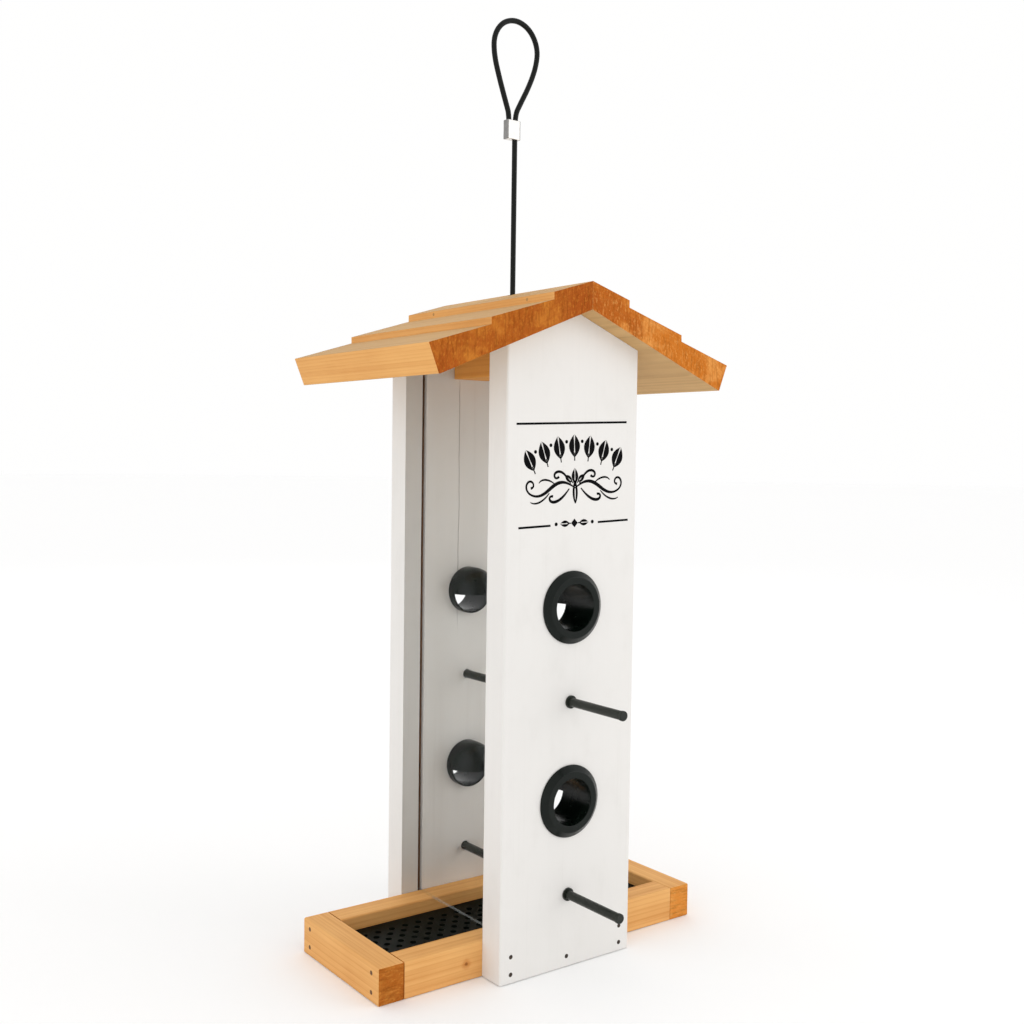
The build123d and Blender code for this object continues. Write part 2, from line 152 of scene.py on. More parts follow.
class Value:
    """A number socket of a node tree, on which Python arithmetic adds Math nodes."""

    def __init__(self, shader: "Shader", socket: bpy.types.NodeSocket) -> None:
        """Wraps an output socket that carries one number."""
        self.shader = shader
        self.socket = socket

    def _math(self, operation: str, *terms: "Value | float", clamp: bool = False) -> "Value":
        """Adds a Math node.

        Args:
            operation: The node's operation.
            terms: Its inputs, in order.
            clamp: Whether its result is kept between 0 and 1.

        Returns:
            The node's result.
        """
        settings = {"operation": operation, "use_clamp": clamp}
        made = self.shader.node("ShaderNodeMath", settings, dict(enumerate(terms)))
        return Value(self.shader, made.outputs[0])

    def __add__(self, other: "Value | float") -> "Value":
        """The sum."""
        return self._math("ADD", self, other)

    __radd__ = __add__

    def __mul__(self, other: "Value | float") -> "Value":
        """The product."""
        return self._math("MULTIPLY", self, other)

    __rmul__ = __mul__

    def __sub__(self, other: "Value | float") -> "Value":
        """The difference."""
        return self._math("SUBTRACT", self, other)

    def __rsub__(self, other: float) -> "Value":
        """The difference, with this value taken away."""
        return self._math("SUBTRACT", other, self)

    def __truediv__(self, other: "Value | float") -> "Value":
        """The quotient."""
        return self._math("DIVIDE", self, other)

    def __pow__(self, other: "Value | float") -> "Value":
        """The power."""
        return self._math("POWER", self, other)

    def __abs__(self) -> "Value":
        """The value without its sign."""
        return self._math("ABSOLUTE", self)

    def fraction(self) -> "Value":
        """The part after the point."""
        return self._math("FRACT", self)

    def clamped(self) -> "Value":
        """The value, kept between 0 and 1."""
        return self._math("ADD", self, 0.0, clamp=True)

    def ramp(self, low: float, high: float) -> "Value":
        """Maps a range to 0...1, with smooth ends.

        Args:
            low: The value that becomes 0.
            high: The value that becomes 1.

        Returns:
            The mapped value.
        """
        settings = {"interpolation_type": "SMOOTHSTEP"}
        inputs = {"Value": self, "From Min": low, "From Max": high}
        made = self.shader.node("ShaderNodeMapRange", settings, inputs)
        return Value(self.shader, made.outputs[0])


class Shader:
    """One material's node tree, with one method that adds any node."""

    def __init__(self, name: str) -> None:
        """Starts an empty material.

        Args:
            name: The material's name.
        """
        self.material = bpy.data.materials.new(name)
        self.material.use_nodes = True
        self.tree = self.material.node_tree
        self.tree.nodes.clear()

    def plug(self, socket: bpy.types.NodeSocket, value: object) -> None:
        """Links a value to a socket, or sets it on the socket.

        Args:
            socket: An input socket.
            value: A Value, a socket, a number, a vector or a colour.
        """
        if isinstance(value, Value):
            value = value.socket
        if isinstance(value, bpy.types.NodeSocket):
            self.tree.links.new(value, socket)
        elif socket.type == "RGBA" and len(value) == 3:
            socket.default_value = (*value, 1.0)
        else:
            socket.default_value = value

    def node(self, kind: str, settings: dict | None = None,
             inputs: dict | None = None) -> bpy.types.Node:
        """Adds a node.

        Args:
            kind: The node's type.
            settings: Its own settings, which are set first.
            inputs: The values or links of its sockets, by name or by index.

        Returns:
            The node.
        """
        made = self.tree.nodes.new(kind)
        for name, value in (settings or {}).items():
            setattr(made, name, value)
        for name, value in (inputs or {}).items():
            self.plug(made.inputs[name], value)
        return made

    def axes(self, vector: bpy.types.NodeSocket) -> list[Value]:
        """A vector's three parts."""
        apart = self.node("ShaderNodeSeparateXYZ", {}, {"Vector": vector})
        return [Value(self, part) for part in apart.outputs]

    def distance(self, vector: bpy.types.NodeSocket, place: Place) -> Value:
        """How far a vector is from a place."""
        made = self.node("ShaderNodeVectorMath", {"operation": "DISTANCE"}, {0: vector, 1: place})
        return Value(self, made.outputs["Value"])

    def coordinates(self, place: Sequence[float] = (0, 0, 0), turn: Sequence[float] = (0, 0, 0),
                    scale: Sequence[float] = (1, 1, 1)) -> bpy.types.NodeSocket:
        """The object's own coordinates, moved, turned and scaled.

        Args:
            place: Where the pattern's own origin lies.
            turn: Euler angles of the pattern.
            scale: Scale along each axis, after the turn.

        Returns:
            A vector socket.
        """
        own = self.node("ShaderNodeTexCoord").outputs["Object"]
        moved = self.node("ShaderNodeMapping", {"vector_type": "TEXTURE"},
                          {"Vector": own, "Location": place, "Rotation": turn})
        scaled = self.node("ShaderNodeMapping", {"vector_type": "POINT"},
                           {"Vector": moved.outputs[0], "Scale": scale})
        return scaled.outputs[0]

    def noise(self, vector: bpy.types.NodeSocket, pattern: Pattern) -> Value:
        """Noise from 0 to 1.

        Args:
            vector: Its coordinates.
            pattern: Its measures.

        Returns:
            The noise.
        """
        inputs = {"Vector": vector, "Scale": pattern.scale, "Detail": pattern.detail,
                  "Roughness": pattern.roughness, "Distortion": pattern.distortion}
        return Value(self, self.node("ShaderNodeTexNoise", {}, inputs).outputs[0])

    def cells(self, vector: bpy.types.NodeSocket, scale: float) -> Value:
        """Distance to the nearest of many scattered points, in cells; scale is points per metre."""
        inputs = {"Vector": vector, "Scale": scale}
        return Value(self, self.node("ShaderNodeTexVoronoi", {}, inputs).outputs["Distance"])

    def mix(self, factor: Value | float, first: object, second: object) -> bpy.types.NodeSocket:
        """Mixes two colours or colour sockets; factor is how much of the second."""
        settings = {"data_type": "RGBA", "blend_type": "MIX", "clamp_factor": True}
        return self.node("ShaderNodeMix", settings, {0: factor, 6: first, 7: second}).outputs[2]

    def bump(self, height: Value, depth: float, strength: float = 1.0) -> bpy.types.NodeSocket:
        """A bumped normal; depth is what a height of 1 stands for, in metres."""
        inputs = {"Height": height, "Distance": depth, "Strength": strength}
        return self.node("ShaderNodeBump", {}, inputs).outputs[0]

    def surface(self, **inputs: object) -> bpy.types.Material:
        """Ends the material in a Principled shader, its sockets named with underscores."""
        named = {name.replace("_", " "): value for name, value in inputs.items()}
        return self.output(self.node("ShaderNodeBsdfPrincipled", {}, named))

    def see_through(self, factor: Value, tint: Colour,
                    covering: bpy.types.Node) -> bpy.types.Material:
        """Ends the material in a clear shader that another one partly covers.

        Args:
            factor: How much of the other.
            tint: The clear shader's colour.
            covering: The other shader's node.

        Returns:
            The material.
        """
        clear = self.node("ShaderNodeBsdfTransparent", {}, {"Color": tint})
        layers = {0: factor, 1: clear.outputs[0], 2: covering.outputs[0]}
        return self.output(self.node("ShaderNodeMixShader", {}, layers))

    def output(self, last: bpy.types.Node) -> bpy.types.Material:
        """Joins the last shader node to the material's output."""
        self.node("ShaderNodeOutputMaterial", {}, {"Surface": last.outputs[0]})
        return self.material


# ---- Finishes -------------------------------------------------------------------------------
@dataclass(frozen=True)
class Finish(ABC):
    """A surface finish, which makes one material."""

    name: str

    @abstractmethod
    def shade(self, shader: Shader) -> bpy.types.Material:
        """Builds the material's nodes."""

    def material(self) -> bpy.types.Material:
        """The finish's material, made the first time it is asked for."""
        name = f"{self.name}_finish"
        found = bpy.data.materials.get(name)
        return found or self.shade(Shader(name))


@dataclass(frozen=True)
class Cedar(Finish):
    """Bare sawn cedar, with growth rings round a pith that lies outside the piece."""

    grain: Grain
    cut: Cut
    pith: Place = (0.03, 0.0, -0.11)
    light: Colour = (0.83, 0.45, 0.155)
    dark: Colour = (0.60, 0.24, 0.052)
    heart: Colour = (0.52, 0.145, 0.016)
    gold: Colour = (0.84, 0.36, 0.075)
    ring_spacing: float = 2.1 * MM
    ring_strength: float = 0.36
    saw: Place = (1.0, 0.14, 0.4)
    knots: tuple[Spot, ...] = ()
    burl: tuple[Spot, ...] = ()
    burl_tone: Colour = (0.40, 0.085, 0.012)
    fibre_length: float = 0.018
    ring_waver: float = 0.011
    bump_depth: float = 0.22 * MM
    end_bump_depth: float = 0.6 * MM
    pores_per_metre: float = 1500
    waver: Pattern = Pattern(26, 3, 0.55)
    threads: Pattern = Pattern(1500, 4, 0.7)
    streaks: Pattern = Pattern(230, 3, 0.6)
    blotches: Pattern = Pattern(17, 3, 0.55)
    knot_rim: Pattern = Pattern(420, 3, 0.6)
    kerf: Pattern = Pattern(760, 3, 0.65, 0.4)
    torn: Pattern = Pattern(900, 4, 0.7)
    patches: Pattern = Pattern(60, 4, 0.66)

    def shade(self, shader: Shader) -> bpy.types.Material:
        """Builds growth rings, fibres, blotches and saw marks."""
        whole = shader.coordinates(self.pith, self.grain.turn)
        fibre = shader.coordinates(self.pith, self.grain.turn, (1, 1, self.fibre_length))
        across, depth, _ = shader.axes(whole)
        waver = shader.noise(fibre, self.waver)
        radius = (across * across + depth * depth) ** 0.5 + waver * self.ring_waver
        phase = (radius / self.ring_spacing).fraction()
        late = phase ** 3.2 * (1 - phase.ramp(0.93, 1.0))
        threads = shader.noise(fibre, self.threads)
        streaks = shader.noise(fibre, self.streaks)
        blotches = shader.noise(whole, self.blotches)
        darkness = late * self.ring_strength + streaks.ramp(0.35, 0.75) * 0.4
        darkness = darkness + threads.ramp(0.4, 0.8) * 0.22
        darkness = (darkness + (blotches - 0.5) * 0.9).clamped()
        colour = shader.mix(darkness, self.light, self.dark)
        if self.cut is Cut.END:
            return self.shade_end(shader, whole, colour, late, threads)
        colour = self.add_knots(shader, colour)
        height = threads * 0.45 + streaks * 0.35 - late * 0.3
        return shader.surface(
            Base_Color=colour, Roughness=(0.6 + threads * 0.16), IOR=1.42, Specular_IOR_Level=0.3,
            Normal=shader.bump(height, self.bump_depth, 0.75))

    def add_knots(self, shader: Shader, colour: bpy.types.NodeSocket) -> bpy.types.NodeSocket:
        """Adds each knot, with a reddened halo.

        Args:
            shader: The material's node tree.
            colour: The wood's colour without them.

        Returns:
            The colour with them.
        """
        own = shader.coordinates()
        uneven = (shader.noise(own, self.knot_rim) - 0.5) * 1.2
        for *centre, radius in self.knots:
            reach = shader.distance(own, centre) / radius + uneven
            halo = 1 - reach.ramp(0.7, 2.6)
            core = 1 - reach.ramp(0.3, 1.0)
            colour = shader.mix(halo * 0.5, colour, self.heart)
            colour = shader.mix(core * 0.75, colour, darker(self.heart, 0.4))
        return colour

    def shade_end(self, shader: Shader, whole: bpy.types.NodeSocket, colour: bpy.types.NodeSocket,
                  late: Value, threads: Value) -> bpy.types.Material:
        """Adds what a saw leaves across the fibres.

        Args:
            shader: The material's node tree.
            whole: The wood's own coordinates, with the fibres along Z.
            colour: The colour that the rings and fibres give.
            late: Where the dark late wood is.
            threads: The fine fibre pattern.

        Returns:
            The material.
        """
        half_saw = tuple(stretch ** 0.5 for stretch in self.saw)
        kerf = shader.noise(shader.coordinates(self.pith, self.grain.turn, self.saw), self.kerf)
        torn = shader.noise(shader.coordinates(self.pith, self.grain.turn, half_saw), self.torn)
        pores = shader.cells(whole, self.pores_per_metre)
        patches = shader.noise(whole, self.patches)
        colour = shader.mix(0.93, colour, self.heart)
        colour = shader.mix(patches.ramp(0.46, 0.70) * 0.5, colour, self.gold)
        for *centre, radius in self.burl:
            reach = shader.distance(shader.coordinates(), centre) / radius + (patches - 0.5) * 3.4
            colour = shader.mix((1 - reach.ramp(0.3, 1.4)) * 0.62, colour, self.burl_tone)
        colour = shader.mix(kerf.ramp(0.45, 0.70) * 0.5, colour, darker(self.heart, 0.5))
        colour = shader.mix(torn.ramp(0.50, 0.68) * 0.42, colour, self.gold)
        height = kerf * 0.6 + torn * 0.5 + pores * 0.3 - late * 0.25
        return shader.surface(
            Base_Color=colour, Roughness=(0.8 + threads * 0.12), IOR=1.4, Specular_IOR_Level=0.04,
            Normal=shader.bump(height, self.end_bump_depth))


@dataclass(frozen=True)
class PaintedWood(Finish):
    """Thin white paint through which the board's upright grain still shows."""

    white: Colour = (0.802, 0.783, 0.756)
    shadow: Colour = (0.67, 0.65, 0.615)
    check: Span | None = None
    check_x: float = -7.5 * MM
    check_drift: float = 3.5 * MM
    check_width: Span = (0.08 * MM, 0.34 * MM)
    check_tone: Colour = (0.16, 0.13, 0.11)
    bump_depth: float = 0.13 * MM
    grain: Pattern = Pattern(330, 4, 0.62)
    brush: Pattern = Pattern(760)
    bands: Pattern = Pattern(60, 3)
    cloud: Pattern = Pattern(11, 3)
    dabs: Pattern = Pattern(70, 4, 0.62)
    drift: Pattern = Pattern(14, 4, 0.6)

    def shade(self, shader: Shader) -> bpy.types.Material:
        """Builds brush marks, the grain under the paint, and a drying check if there is one."""
        whole = shader.coordinates()
        fibre = shader.coordinates((0.21, 0.0, -0.13), scale=(1, 1, 0.02))
        brushed = shader.coordinates((0.1, 0.3, 0), scale=(1, 1, 0.006))
        grain = shader.noise(fibre, self.grain)
        brush = shader.noise(brushed, self.brush)
        bands = shader.noise(fibre, self.bands)
        cloud = shader.noise(whole, self.cloud)
        dabs = shader.noise(shader.coordinates(scale=(1, 1, 0.55)), self.dabs)
        thin = grain.ramp(0.55, 0.85) * 0.26 + bands.ramp(0.5, 0.8) * 0.2
        thin = thin + cloud.ramp(0.45, 0.75) * 0.16 + dabs.ramp(0.48, 0.78) * 0.2
        colour = shader.mix(thin.clamped(), self.white, self.shadow)
        height = grain * 0.6 + brush * 0.25 + bands * 0.4
        if self.check:
            crack = self.crack(shader, whole)
            colour = shader.mix(crack * 0.75, colour, self.check_tone)
            height = height - crack * 1.6
        return shader.surface(
            Base_Color=colour, Roughness=(0.44 + grain * 0.14), IOR=1.46,
            Normal=shader.bump(height, self.bump_depth, 0.55))

    def crack(self, shader: Shader, whole: bpy.types.NodeSocket) -> Value:
        """A hairline along the grain.

        Args:
            shader: The material's node tree.
            whole: The object's coordinates.

        Returns:
            1 in the crack and 0 elsewhere.
        """
        across, _, along = shader.axes(whole)
        drift = shader.noise(shader.coordinates(scale=(0, 0, 1)), self.drift)
        beside = abs(across - self.check_x - (drift - 0.5) * self.check_drift)
        low, high = self.check
        ends = along.ramp(low, low + 30 * MM) * (1 - along.ramp(high - 10 * MM, high))
        return (1 - beside.ramp(*self.check_width)) * ends


@dataclass(frozen=True)
class MouldedPlastic(Finish):
    """Dark satin plastic with the fine texture of its mould."""

    tone: Colour = (0.002, 0.0045, 0.003)
    worn: Colour = (0.007, 0.012, 0.009)
    roughness: float = 0.25
    shine: float = 0.2
    bump_depth: float = 0.05 * MM
    pebble: Pattern = Pattern(2600, 3, 0.6)
    flow: Pattern = Pattern(130, 3, 0.6)

    def shade(self, shader: Shader) -> bpy.types.Material:
        """Builds mould texture and faint rubbing."""
        whole = shader.coordinates()
        pebble = shader.noise(whole, self.pebble)
        flow = shader.noise(whole, self.flow)
        colour = shader.mix(flow.ramp(0.4, 0.8) * 0.55, self.tone, self.worn)
        return shader.surface(
            Base_Color=colour, Roughness=(self.roughness + (flow - 0.5) * 0.16), IOR=1.5,
            Specular_IOR_Level=self.shine, Normal=shader.bump(pebble, self.bump_depth, 0.5))


@dataclass(frozen=True)
class Metal(Finish):
    """A metal with fine scratches along Z, and painted shade on its sides where its edges along X
    are given.
    """

    tone: Colour = (0.80, 0.80, 0.81)
    dull_and_shade: Colour = (0.52, 0.52, 0.53)
    roughness: float = 0.3
    dulled: float = 0.4
    metallic: float = 1.0
    edges: Span | None = None
    bump_depth: float = 0.02 * MM
    scratches: Pattern = Pattern(3800, 2, 0.6)
    cloud: Pattern = Pattern(420, 3, 0.6)

    def shade(self, shader: Shader) -> bpy.types.Material:
        """Builds scratches, a clouded polish and the painted shade on the sides."""
        lines = shader.noise(shader.coordinates(scale=(1, 1, 0.05)), self.scratches)
        cloud = shader.noise(shader.coordinates(), self.cloud)
        colour = shader.mix(cloud.ramp(0.35, 0.8) * self.dulled, self.tone, self.dull_and_shade)
        if self.edges:
            # Painted shade: the colour darkens towards both edges along X, for the shade on the
            # sides.
            low, high = self.edges
            across, _, _ = shader.axes(shader.coordinates())
            beside = abs(across - (low + high) / 2) / ((high - low) / 2)
            painted_side_shade = beside.ramp(0.74, 0.9) * (0.55 + lines * 0.5)
            colour = shader.mix(painted_side_shade, colour, darker(self.dull_and_shade, 0.22))
        return shader.surface(
            Base_Color=colour, Metallic=self.metallic,
            Roughness=(self.roughness + cloud * 0.14 + lines * 0.08),
            Normal=shader.bump(lines, self.bump_depth, 0.5))


@dataclass(frozen=True)
class Jacket(Finish):
    """The cable's smooth vinyl coating."""

    tone: Colour = (0.004, 0.005, 0.004)
    scuff: Colour = (0.016, 0.018, 0.015)
    bump_depth: float = 0.03 * MM
    drawn: Pattern = Pattern(2400)
    scuffs: Pattern = Pattern(260, 4, 0.65)

    def shade(self, shader: Shader) -> bpy.types.Material:
        """Builds a faint drawn texture and scuffs."""
        drawn = shader.noise(shader.coordinates(scale=(1, 1, 0.08)), self.drawn)
        scuffs = shader.noise(shader.coordinates(), self.scuffs)
        colour = shader.mix(scuffs.ramp(0.5, 0.8) * 0.5, self.tone, self.scuff)
        return shader.surface(
            Base_Color=colour, Roughness=(0.3 + scuffs * 0.18), IOR=1.5, Specular_IOR_Level=0.16,
            Normal=shader.bump(drawn, self.bump_depth, 0.4))


@dataclass(frozen=True)
class Ink(Finish):
    """Black print with the paint's grain just showing through."""

    tone: Colour = (0.003, 0.003, 0.0035)
    worn: Colour = (0.012, 0.012, 0.013)
    bump_depth: float = 0.04 * MM
    grain: Pattern = Pattern(900, 3, 0.6)

    def shade(self, shader: Shader) -> bpy.types.Material:
        """Builds print that is thinner over the raised grain."""
        grain = shader.noise(shader.coordinates(scale=(1, 1, 0.03)), self.grain)
        colour = shader.mix(grain.ramp(0.55, 0.85) * 0.5, self.tone, self.worn)
        return shader.surface(
            Base_Color=colour, Roughness=(0.6 + grain * 0.12), IOR=1.45, Specular_IOR_Level=0.05,
            Normal=shader.bump(grain, self.bump_depth, 0.4))


@dataclass(frozen=True)
class ClearSheet(Finish):
    """Clear acrylic: it shows what is behind it, and reflects more at a glancing angle."""

    tint: Colour = (0.992, 0.994, 0.994)
    gloss: Colour = (0.93, 0.95, 0.95)
    head_on: float = 0.002
    glancing: float = 0.5
    haze: float = 0.004
    smear: Pattern = Pattern(34, 4, 0.6)

    def shade(self, shader: Shader) -> bpy.types.Material:
        """Covers a clear shader with a little gloss."""
        smear = shader.noise(shader.coordinates(scale=(1, 1, 0.35)), self.smear)
        turned = Value(shader, shader.node("ShaderNodeLayerWeight").outputs["Facing"])
        shown = turned ** 6 * self.glancing + self.head_on + smear.ramp(0.5, 0.85) * self.haze
        glossy = shader.node("ShaderNodeBsdfGlossy", {}, {"Color": self.gloss, "Roughness": 0.04})
        return shader.see_through(shown.clamped(), self.tint, glossy)


@dataclass(frozen=True)
class SheetEdge(Finish):
    """The sawn and polished edge of the clear sheet, where it looks milky."""

    tint: Colour = (0.93, 0.95, 0.95)
    tone: Colour = (0.72, 0.78, 0.78)
    saw_lines: Pattern = Pattern(1400, 2, 0.6)

    def shade(self, shader: Shader) -> bpy.types.Material:
        """Covers a clear shader with a milky one, along faint saw lines."""
        lines = shader.noise(shader.coordinates(scale=(1, 1, 0.3)), self.saw_lines)
        inputs = {"Base Color": self.tone, "Roughness": 0.25, "IOR": 1.49}
        milky = shader.node("ShaderNodeBsdfPrincipled", {}, inputs)
        return shader.see_through(0.1 + lines * 0.14, self.tint, milky)


# ---- Meshes ---------------------------------------------------------------------------------
class Workpiece:
    """A mesh being shaped with bmesh operators."""

    def __init__(self) -> None:
        """Starts empty."""
        self.bm = bmesh.new()

    @classmethod
    def from_node(cls, node: str) -> "Workpiece":
        """A merged copy of a CAD node, with its flat faces whole.

        Args:
            node: The node's name.

        Returns:
            The workpiece.
        """
        piece = cls()
        bm = piece.bm
        bm.from_mesh(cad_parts[node].data)
        bmesh.ops.remove_doubles(bm, verts=bm.verts, dist=SAME_PLACE)
        bmesh.ops.dissolve_limit(bm, angle_limit=FLAT_ANGLE, verts=bm.verts, edges=bm.edges)
        return piece

    @classmethod
    def block(cls, low: Vector, high: Vector) -> "Workpiece":
        """A block between two corners.

        Args:
            low: Its lowest corner.
            high: Its highest corner.

        Returns:
            The workpiece.
        """
        piece = cls()
        size = high - low
        place = Matrix.Translation((low + high) / 2) @ Matrix.Diagonal((*size, 1.0))
        bmesh.ops.create_cube(piece.bm, size=1.0, matrix=place)
        return piece

    @classmethod
    def lathe(cls, profile: Sequence[Span], steps: int) -> "Workpiece":
        """A closed profile turned round the Y axis.

        Args:
            profile: Points as (radius, place along Y).
            steps: Steps in the full turn.

        Returns:
            The workpiece.
        """
        piece = cls()
        bm = piece.bm
        verts = [bm.verts.new((radius, along, 0.0)) for radius, along in profile]
        edges = [bm.edges.new(pair) for pair in zip(verts, verts[1:] + verts[:1])]
        bmesh.ops.spin(bm, geom=verts + edges, cent=(0, 0, 0), axis=(0, 1, 0), angle=2 * math.pi,
                       steps=steps, use_merge=True, use_duplicate=False)
        bmesh.ops.recalc_face_normals(bm, faces=bm.faces)
        return piece

    def sharp_edges(self, degrees: float, shortest: float = 0.0) -> list[bmesh.types.BMEdge]:
        """The edges at which the surface turns.

        Args:
            degrees: The least turn.
            shortest: The least length of an edge.

        Returns:
            The edges.
        """
        least = math.radians(degrees)
        joined = [e for e in self.bm.edges if len(e.link_faces) == 2]
        return [e for e in joined if e.calc_face_angle(0.0) > least and e.calc_length() >= shortest]

    def slice(self, axis: int, step: float) -> None:
        """Cuts the mesh across an axis at even steps, and takes nothing away.

        Args:
            axis: 0 for X, 1 for Y, 2 for Z.
            step: The distance between the cuts.
        """
        places = [v.co[axis] for v in self.bm.verts]
        low, high = min(places), max(places)
        count = max(1, round((high - low) / step))
        normal = Vector((axis == 0, axis == 1, axis == 2))
        for k in range(1, count):
            self.cut(normal * (low + (high - low) * k / count), normal)

    def cut(self, place: Vector, normal: Vector, keep_below: bool = False) -> None:
        """Cuts the mesh with a plane.

        Args:
            place: A point on the plane.
            normal: The plane's normal.
            keep_below: Whether what lies above the plane is taken away.
        """
        everything = [*self.bm.verts, *self.bm.edges, *self.bm.faces]
        bmesh.ops.bisect_plane(self.bm, geom=everything, dist=1e-7, plane_co=place,
                               plane_no=normal, clear_outer=keep_below)

    def bevel(self, edges: Iterable[bmesh.types.BMEdge], width: float, segments: int = 2) -> list:
        """Rounds edges.

        Args:
            edges: The edges.
            width: The width that is taken off each side.
            segments: Steps across the rounding.

        Returns:
            The new faces.
        """
        made = bmesh.ops.bevel(self.bm, geom=list(edges), offset=width, offset_type="OFFSET",
                               segments=segments, profile=0.5, affect="EDGES", material=-1,
                               clamp_overlap=True)
        return made["faces"]

    def transform(self, matrix: Matrix) -> "Workpiece":
        """Moves every vertex, and turns the faces outwards again after a mirroring.

        Args:
            matrix: What to apply.

        Returns:
            The workpiece itself.
        """
        bmesh.ops.transform(self.bm, matrix=matrix, verts=self.bm.verts)
        if matrix.determinant() < 0:
            bmesh.ops.reverse_faces(self.bm, faces=self.bm.faces)
        return self

    def add(self, other: "Workpiece") -> None:
        """Takes in another workpiece's mesh.

        Args:
            other: The other workpiece, which is used up.
        """
        mesh = bpy.data.meshes.new("part")
        other.bm.to_mesh(mesh)
        other.bm.free()
        self.bm.from_mesh(mesh)
        bpy.data.meshes.remove(mesh)

    def dress(self, name: str, finishes: Sequence[Finish], sharp: float = 40.0,
              weighted: bool = True) -> bpy.types.Object:
        """Makes the object, smooth but for its sharp edges.

        Args:
            name: The object's name.
            finishes: Its materials, in the order of its faces' indices.
            sharp: The turn in degrees from which an edge stays sharp.
            weighted: Whether large faces keep flat shading beside rounded edges.

        Returns:
            The object.
        """
        for face in self.bm.faces:
            face.smooth = True
        for edge in self.sharp_edges(sharp):
            edge.smooth = False
        mesh = bpy.data.meshes.new(name)
        self.bm.to_mesh(mesh)
        self.bm.free()
        for finish in finishes:
            mesh.materials.append(finish.material())
        made = linked(name, mesh)
        if weighted:
            keep = made.modifiers.new("flat_faces", "WEIGHTED_NORMAL")
            keep.keep_sharp = True
        return made


def settle(piece: bpy.types.Object, body: Body, slot: str, *stands_for: str) -> bpy.types.Object:
    """Joins a finished piece to the frame and reports it.

    Args:
        piece: The piece.
        body: The body that it rides on.
        slot: The record's material slot; not used.
        stands_for: The CAD nodes that it replaces.

    Returns:
        The piece.
    """
    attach(piece, body.value)
    if stands_for:
        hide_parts(*stands_for)
    size = [round(d / MM, 1) for d in piece.dimensions]
    replaced = ", ".join(stands_for) or "no CAD node"
    log.info("%s: %s mm on %s, for %s", piece.name, size, body.value, replaced)
    return piece


def dress_node(node: str, finish: Finish) -> None:
    """Gives a CAD node that stays its own finish.

    Args:
        node: The node's name.
        finish: The finish.
    """
    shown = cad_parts[node]
    shown.data.materials.clear()
    shown.data.materials.append(finish.material())
    log.info("%s: CAD node in %s", node, finish.name)


class SubAssembly(ABC):
    """A group of pieces that are made together."""

    @abstractmethod
    def build(self) -> None:
        """Makes the group's pieces."""


# ---- Wood -----------------------------------------------------------------------------------
@dataclass(frozen=True)
class Zone:
    """A box in which a piece of wood has another finish."""

    low: Vector
    high: Vector
    finish: Finish

    def holds(self, place: Vector) -> bool:
        """Whether a place lies in the box."""
        return all(low < p < high for low, p, high in zip(self.low, place, self.high))


@dataclass
class Timber:
    """One piece of wood, with softened arrises that wander a little as sawn ones do."""

    node: str
    body: Body
    slot: str
    grain: Grain
    long_finish: Finish
    end_finish: Finish
    facings: Sequence[tuple[Vector, Finish]] = ()
    zones: Sequence[Zone] = ()
    depths: Sequence[float] = ()
    arris: float = 0.45 * MM
    step: float = 7.0 * MM
    wander: float = 0.16 * MM
    wander_per_metre: float = 210.0
    shortest: float = 4.0 * MM
    arris_turn: float = 24.0
    end_share: float = 0.6
    facing_share: float = 0.8

    def build(self) -> bpy.types.Object:
        """Makes the piece in place of its CAD node."""
        piece = Workpiece.from_node(self.node)
        for edge in piece.bm.edges:
            edge.seam = False
        for edge in piece.sharp_edges(self.arris_turn, self.shortest):
            edge.seam = True
        piece.slice(self.grain.value, self.step)
        for depth in self.depths:
            piece.cut(Vector((0, depth, 0)), Vector((0, 1, 0)))
        arrises = [e for e in piece.bm.edges if e.seam]
        rounded = piece.bevel(arrises, self.arris)
        self.roughen(rounded)
        piece.bm.normal_update()
        for face in piece.bm.faces:
            face.material_index = int(abs(face.normal[self.grain.value]) > self.end_share)
            for index, (direction, _) in enumerate(self.facings, 2):
                if face.normal.dot(direction) > self.facing_share:
                    face.material_index = index
            for index, zone in enumerate(self.zones, 2 + len(self.facings)):
                upright = abs(face.normal.z) < self.end_share
                if upright and zone.holds(face.calc_center_median()):
                    face.material_index = index
        for edge in piece.bm.edges:
            edge.seam = False
        finishes = [self.long_finish, self.end_finish]
        finishes += [finish for _, finish in self.facings]
        finishes += [zone.finish for zone in self.zones]
        made = piece.dress(f"{self.node}_wood", finishes)
        return settle(made, self.body, self.slot, self.node)

    def roughen(self, faces: Iterable[bmesh.types.BMFace]) -> None:
        """Moves the arrises' vertices inwards by small uneven amounts.

        Args:
            faces: The faces along the arrises.
        """
        for vert in {v for face in faces for v in face.verts}:
            uneven = 0.5 + 0.5 * noise.noise(vert.co * self.wander_per_metre)
            vert.co -= vert.normal * (self.wander * max(0.0, min(1.0, uneven)))


